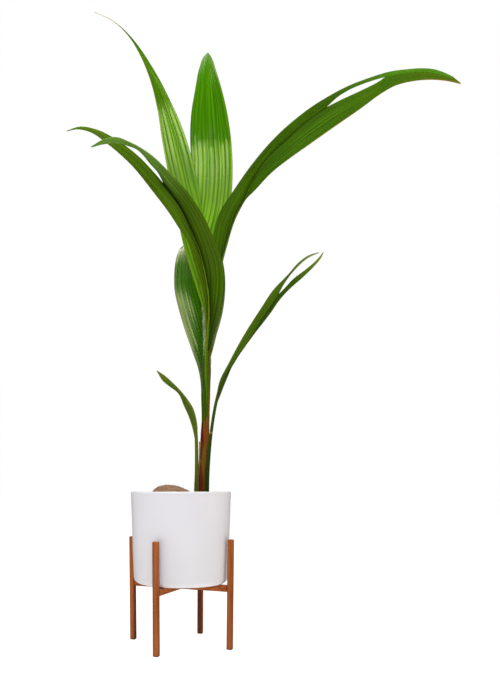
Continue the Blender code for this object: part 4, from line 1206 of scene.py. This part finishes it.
def blade_mesh(name, leaf, settings):
    """A smooth blade with the attributes that its pleats and its material follow, and its rib."""
    halves, cleft = leaf_lines(leaf, settings.row / MM)
    rows = len(halves[0][0])
    pleat = settings.pleat / MM
    widest = max(np.linalg.norm(outer - inner, axis=1).max() for inner, outer in halves)
    columns = max(8, round(widest / pleat * settings.columns))
    shares = np.linspace(0, 1, columns + 1)
    along = np.repeat(np.linspace(0, 1, rows)[:, None], columns + 1, axis=1)
    parts = {key: [] for key in ("point", "from_margin", "from_rib", "pleat_count", "pleat_fade",
                                 "blade_place", "line")}
    normals = []
    for half, ((inner, outer), flip) in enumerate(zip(halves, (1, -1))):
        surface, width, normal = half_surface(inner, outer, flip, columns)
        reach = np.maximum(np.maximum.accumulate(width), 0.1)
        count = reach[:, None] * (1 - shares) / pleat
        count = count + 0.16 * np.sin(count * 1.7 + 1.3 * half) + 0.1 * np.sin(count * 4.1)
        length = travelled_along(inner, 3)
        from_margin = width[:, None] * (1 - shares)
        from_rib = width[:, None] * shares
        wave = 0.45 * np.sin(length[:, None] / 31 + count * 0.9 + half) * np.clip(from_rib / 15, 0, 1)
        if "crimp" in leaf["lobes"][half]:
            wave = wave - crimped(count, along, length[-1], *leaf["lobes"][half]["crimp"])
        surface = surface + normal[:, None] * wave[..., None]
        fade = (np.clip(from_margin / 3, 0, 1) * np.clip(from_rib / 5, 0.15, 1)
                * np.clip(width / reach, 0.25, 1)[:, None] * np.clip(width / 24, 0, 1)[:, None])
        parts["point"].append(surface.reshape(-1, 3))
        parts["from_margin"].append(from_margin.ravel())
        # The stored distance from the rib masks the painted shade beside it; past the cleft it is pushed off the
        # lobes
        parted = np.clip((np.arange(rows) - cleft) / 10, 0, 1)[:, None]
        parts["from_rib"].append((from_rib + RIB_SHADE_REACH * parted).ravel())
        parts["pleat_count"].append(count.ravel())
        parts["pleat_fade"].append(fade.ravel())
        parts["blade_place"].append(np.stack([np.tile(shares, rows), along.ravel(),
                                              np.full(along.size, float(half))], axis=1))
        parts["line"].append(np.stack([count.ravel(), np.repeat(length * MM / 0.1, columns + 1)], axis=1))
        normals.append(normal[FOOT_ROWS:cleft + 1])
    parts = {key: np.concatenate(values) for key, values in parts.items()}

    index = np.arange(along.size).reshape(along.shape)
    corners = []
    for half in (0, 1):
        grid = index + half * index.size
        quad = np.stack([grid[:-1, :-1], grid[:-1, 1:], grid[1:, 1:], grid[1:, :-1]], axis=-1).reshape(-1, 4)
        corners.append(quad if half == 0 else quad[:, ::-1])
    corners = np.concatenate(corners)
    same = np.arange(2 * index.size)
    same[index[:cleft + 1, 0] + index.size] = index[:cleft + 1, 0]
    kept, faces = np.unique(same[corners], return_inverse=True)
    faces = faces.reshape(corners.shape)

    mesh = bpy.data.meshes.new(name)
    mesh.from_pydata(in_place(parts["point"][kept]).tolist(), [], faces.tolist())
    for label in ("from_margin", "from_rib", "pleat_count", "pleat_fade"):
        mesh.attributes.new(label, "FLOAT", "POINT").data.foreach_set("value", parts[label][kept])
    places = mesh.attributes.new("blade_place", "FLOAT_VECTOR", "POINT")
    places.data.foreach_set("vector", parts["blade_place"][kept].ravel())
    mesh.uv_layers.new(name="blade").data.foreach_set("uv", parts["line"][corners.ravel()].ravel())
    rib = halves[0][0][FOOT_ROWS:cleft + 1]
    facing = normals[0] + normals[1]
    facing /= np.maximum(np.linalg.norm(facing, axis=1), 1e-9)[:, None]
    return mesh, rib, facing


# Operators

class PALM_OT_stage(bpy.types.Operator):
    """Lay the floor, light it softly and set the camera where the picture was taken"""
    bl_idname = "palm.stage"
    bl_label = "Floor, light and camera"

    def execute(self, context):
        settings = context.scene.palm.stage
        context.scene.view_settings.view_transform = "Standard"

        mesh = bpy.data.meshes.new("floor")
        bm = bmesh.new()
        bmesh.ops.create_circle(bm, cap_ends=True, segments=96, radius=24.0)
        bmesh.ops.translate(bm, verts=bm.verts, vec=(0, 0, -0.0004))
        bm.to_mesh(mesh)
        bm.free()
        floor_paint, tree, shader = start_material("opal_light_table", 0.9)
        shader.inputs["Base Color"].default_value = tuple(c * 0.2 for c in settings.floor[:3]) + (1.0,)
        shader.inputs["Emission Color"].default_value = settings.floor
        shader.inputs["Emission Strength"].default_value = settings.table
        floor = placed("floor", mesh, floor_paint)
        floor.visible_glossy = False

        mesh = bpy.data.meshes.new("backdrop")
        bm = bmesh.new()
        bmesh.ops.create_uvsphere(bm, u_segments=64, v_segments=32, radius=25.0)
        bm.to_mesh(mesh)
        bm.free()
        lit_wall, tree, shader = start_material("evenly_lit_wall", 1.0)
        shader.inputs["Base Color"].default_value = (0.0, 0.0, 0.0, 1.0)
        shader.inputs["Emission Color"].default_value = settings.floor
        shader.inputs["Emission Strength"].default_value = settings.wall
        backdrop = placed("backdrop", mesh, lit_wall)
        backdrop.visible_diffuse = False
        backdrop.visible_glossy = False
        backdrop.visible_shadow = False

        world = bpy.data.worlds.new("soft_studio")
        context.scene.world = world
        world.use_nodes = True
        sky = world.node_tree.nodes["Background"]
        sky.inputs["Color"].default_value = (1.0, 1.0, 1.0, 1.0)
        sky.inputs["Strength"].default_value = settings.sky
        world.cycles_visibility.glossy = False

        for name, place, aim, size, power, tint in (
            ("front_softbox", (-0.35, -2.2, 2.6), (-0.35, 0.0, 2.6), (2.3, 1.0), settings.front, "#EEF2FF"),
            ("top_softbox", (-0.2, 0.2, 6.0), (-0.2, 0.2, 0.0), (5.0, 4.4), settings.top, "#FFFFFF"),
            ("side_softbox", (2.6, -0.6, 1.2), (0.0, 0.0, 0.8), (1.0, 1.8), settings.side, "#FFDFC0"),
        ):
            light = bpy.data.lights.new(name, "AREA")
            light.shape = "RECTANGLE"
            light.energy = power
            light.size, light.size_y = size
            light.color = linear(tint)[:3]
            lamp = bpy.data.objects.new(name, light)
            context.collection.objects.link(lamp)
            lamp.location = AXIS + Vector(place)
            lamp.rotation_euler = (Vector(aim) - Vector(place)).to_track_quat("-Z", "Y").to_euler()

        lens = bpy.data.cameras.new("camera")
        lens.sensor_fit = "AUTO"
        lens.sensor_width = SENSOR
        lens.lens = SENSOR * FOCAL_PIXELS / FRAME_HEIGHT
        lens.shift_x = (FRAME_WIDTH / 2 - EYE_LINE_X) / FRAME_HEIGHT
        lens.shift_y = (EYE_LINE_Y - FRAME_HEIGHT / 2) / FRAME_HEIGHT
        camera = bpy.data.objects.new("camera", lens)
        context.collection.objects.link(camera)
        camera.location = AXIS + Vector((0.0, -EYE_DISTANCE * MM, EYE_HEIGHT * MM))
        camera.rotation_euler = (math.radians(90), 0.0, 0.0)
        context.scene.camera = camera
        return {"FINISHED"}


class PALM_OT_pot(bpy.types.Operator):
    """Turn the glazed pot with its foot ring, heel, lip band and rim"""
    bl_idname = "palm.pot"
    bl_label = "Glazed pot"

    def execute(self, context):
        settings = context.scene.palm.pot
        mesh = turned_mesh("glazed_pot", pot_profile(settings), settings.segments)
        dress(placed("glazed_pot", mesh, glazed_ceramic(settings)), "glaze", "pot")
        return {"FINISHED"}


class PALM_OT_soil(bpy.types.Operator):
    """Fill the pot with potting mix and scatter crumbs of bark over it"""
    bl_idname = "palm.soil"
    bl_label = "Potting mix"

    def execute(self, context):
        settings = context.scene.palm.soil
        mesh = soil_mesh("soil_bed")
        scattered = mesh.copy()
        bed = placed("soil_bed", mesh, potting_mix(settings, "moist_potting_mix", tuple(settings.mix)))
        dress(bed, "soil", "potting_soil")
        crumbs = grown("bark_crumbs", scattered, crumbs_tree(), {
            "Density": settings.density, "Crumb": settings.crumb, "Seed": 11,
            "Material": potting_mix(settings, "composted_bark", tuple(settings.bark))})
        dress(crumbs, "soil")
        return {"FINISHED"}


class PALM_OT_coconut(bpy.types.Operator):
    """Shape the coconut's husk and lay its loose fibres"""
    bl_idname = "palm.coconut"
    bl_label = "Coconut"

    def execute(self, context):
        settings = context.scene.palm.husk
        mesh = nut_mesh("coconut_husk")
        scattered = mesh.copy()
        dress(placed("coconut_husk", mesh, coconut_husk(settings)), "husk", "coconut")
        fibres = grown("husk_fibres", scattered, fibres_tree(), {
            "Density": 36000.0, "Length": settings.fibre, "Thickness": settings.thickness, "Stray": 0.22,
            "Along": (1.0, 0.0, 0.0), "Seed": 5,
            "Material": loose_fibre("loose_coir", tuple(settings.husk), tuple(settings.dark))})
        dress(fibres, "husk")
        return {"FINISHED"}


class PALM_OT_sheath(bpy.types.Operator):
    """Wrap the stem in its fibrous sheath"""
    bl_idname = "palm.sheath"
    bl_label = "Stem sheath"

    def execute(self, context):
        settings = context.scene.palm.stem
        grown_round = [(x, depth, z, radius + 0.5) for x, depth, z, radius in CLASPING_BASES[1:]]
        mesh = wrapped_tube("wrapped_sheath", SHEATH + grown_round, sheath_top, settings, 150, 96)
        scattered = mesh.copy()
        dress(placed("wrapped_sheath", mesh, fibrous_sheath(settings)), "sheath", "stem_sheath")
        fibres = grown("sheath_fibres", scattered, fibres_tree(), {
            "Density": 16000.0, "Length": 0.014, "Thickness": 0.00045, "Stray": 0.05,
            "Along": (0.0, 0.0, 1.0), "Seed": 9,
            "Material": loose_fibre("sheath_fibre", tuple(settings.brown), tuple(settings.maroon))})
        dress(fibres, "sheath")
        mesh = wrapped_tube("clasping_bases", CLASPING_BASES, lambda a: 772 + 4 * math.cos(a), settings, 90, 72,
                            0.5)
        dress(placed("clasping_bases", mesh, clasping_bases(settings)), "stalk")
        dress(placed("sheath_scrap", scrap_mesh("sheath_scrap"), dry_scrap(settings)), "sheath")
        return {"FINISHED"}


class PALM_OT_leaves(bpy.types.Operator):
    """Loft and pleat the leaf blades, and run each petiole into its midrib"""
    bl_idname = "palm.leaves"
    bl_label = "Leaves and petioles"

    def execute(self, context):
        settings = context.scene.palm.leaf
        stem = context.scene.palm.stem
        pleated = pleats_tree()
        limb = limb_tree()
        for name, leaf in LEAVES.items():
            mesh, rib, facing = blade_mesh(name, leaf, settings)
            blade = grown(name.replace("leaf", "blade"), mesh, pleated, {
                "Depth": settings.depth * BLADE_LOOKS[name].get("pleat", 1.0), "Material": palm_leaf(name.replace("leaf", "palm_leaf"),
                                                               BLADE_LOOKS[name], settings)},
                settings.thickness)
            dress(blade, "leaf", name)

            stalk = leaf["petiole"]
            radius = PETIOLES[stalk][-1][3]
            run = rib - facing * 0.6
            path = [point[:3] for point in PETIOLES[stalk]] + [tuple(point) for point in run[::6]]
            ends = np.linspace(radius * 0.95, 0.7, len(run[::6]))
            radii = [point[3] for point in PETIOLES[stalk]] + list(ends)
            fine = curve_through([(*p, r) for p, r in zip(path, radii)], np.linspace(0, 1, 140), 3)
            piece = grown(stalk.replace("petiole", "stalk"),
                          limb_path(stalk, fine[:, :3], fine[:, 3]), limb, {
                              "Channel": stem.channel, "Keel": stem.keel, "Facing": tuple(facing[0]),
                              "Sides": 28, "Material": palm_petiole(stalk.replace("petiole", "palm_petiole"),
                                                                    *STALK_COLOURS[stalk],
                                                                    scar=SCAR_HEIGHT if name == "leaf_low"
                                                                    else None)})
            dress(piece, "stalk", stalk)
        return {"FINISHED"}


class PALM_OT_stand(bpy.types.Operator):
    """Give the stand's legs and bars their oiled wood"""
    bl_idname = "palm.stand"
    bl_label = "Wooden stand"

    def execute(self, context):
        settings = context.scene.palm.stand
        lengthwise = math.radians(90)
        for index in range(4):
            name = f"stand_leg_{index + 1}"
            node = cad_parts[name]
            node.data.materials.clear()
            node.data.materials.append(oiled_hardwood(f"oiled_hardwood_leg_{index + 1}", settings,
                                                      (0.0, 0.0, 0.0), 0.31 * index))
        for index in range(2):
            name = f"stand_bar_{index + 1}"
            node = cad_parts[name]
            low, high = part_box(name)
            slope = math.atan2(high.y - low.y, high.x - low.x)
            turn = (0.0, lengthwise, slope if index else -slope)
            node.data.materials.clear()
            node.data.materials.append(oiled_hardwood(f"oiled_hardwood_bar_{index + 1}", settings, turn,
                                                      1.7 + 0.31 * index))
        return {"FINISHED"}


class PALM_PT_panel(bpy.types.Panel):
    """Lists the palm's pieces"""
    bl_label = "Potted coconut palm"
    bl_idname = "PALM_PT_panel"
    bl_space_type = "VIEW_3D"
    bl_region_type = "UI"
    bl_category = "Palm"

    def draw(self, context):
        for operator in OPERATORS:
            self.layout.operator(operator.bl_idname)
        for group in ("pot", "soil", "husk", "stem", "leaf", "stand", "stage"):
            settings = getattr(context.scene.palm, group)
            box = self.layout.box()
            for key in settings.__annotations__:
                box.prop(settings, key)


SETTINGS = (PalmPotSettings, PalmSoilSettings, PalmHuskSettings, PalmStemSettings, PalmLeafSettings,
            PalmStandSettings, PalmStageSettings, PalmSettings)
OPERATORS = (PALM_OT_stage, PALM_OT_pot, PALM_OT_soil, PALM_OT_coconut, PALM_OT_sheath, PALM_OT_leaves,
             PALM_OT_stand)


def register():
    """Register the classes and hang the settings on the scene."""
    for cls in SETTINGS + OPERATORS + (PALM_PT_panel,):
        bpy.utils.register_class(cls)
    bpy.types.Scene.palm = PointerProperty(type=PalmSettings)


def unregister():
    """Take the settings and the classes away again."""
    del bpy.types.Scene.palm
    for cls in reversed(SETTINGS + OPERATORS + (PALM_PT_panel,)):
        bpy.utils.unregister_class(cls)


def main():
    """Make every piece in order."""
    register()
    bpy.ops.palm.stage()
    bpy.ops.palm.pot()
    bpy.ops.palm.soil()
    bpy.ops.palm.coconut()
    bpy.ops.palm.sheath()
    bpy.ops.palm.leaves()
    bpy.ops.palm.stand()


if __name__ == "__main__":
    main()
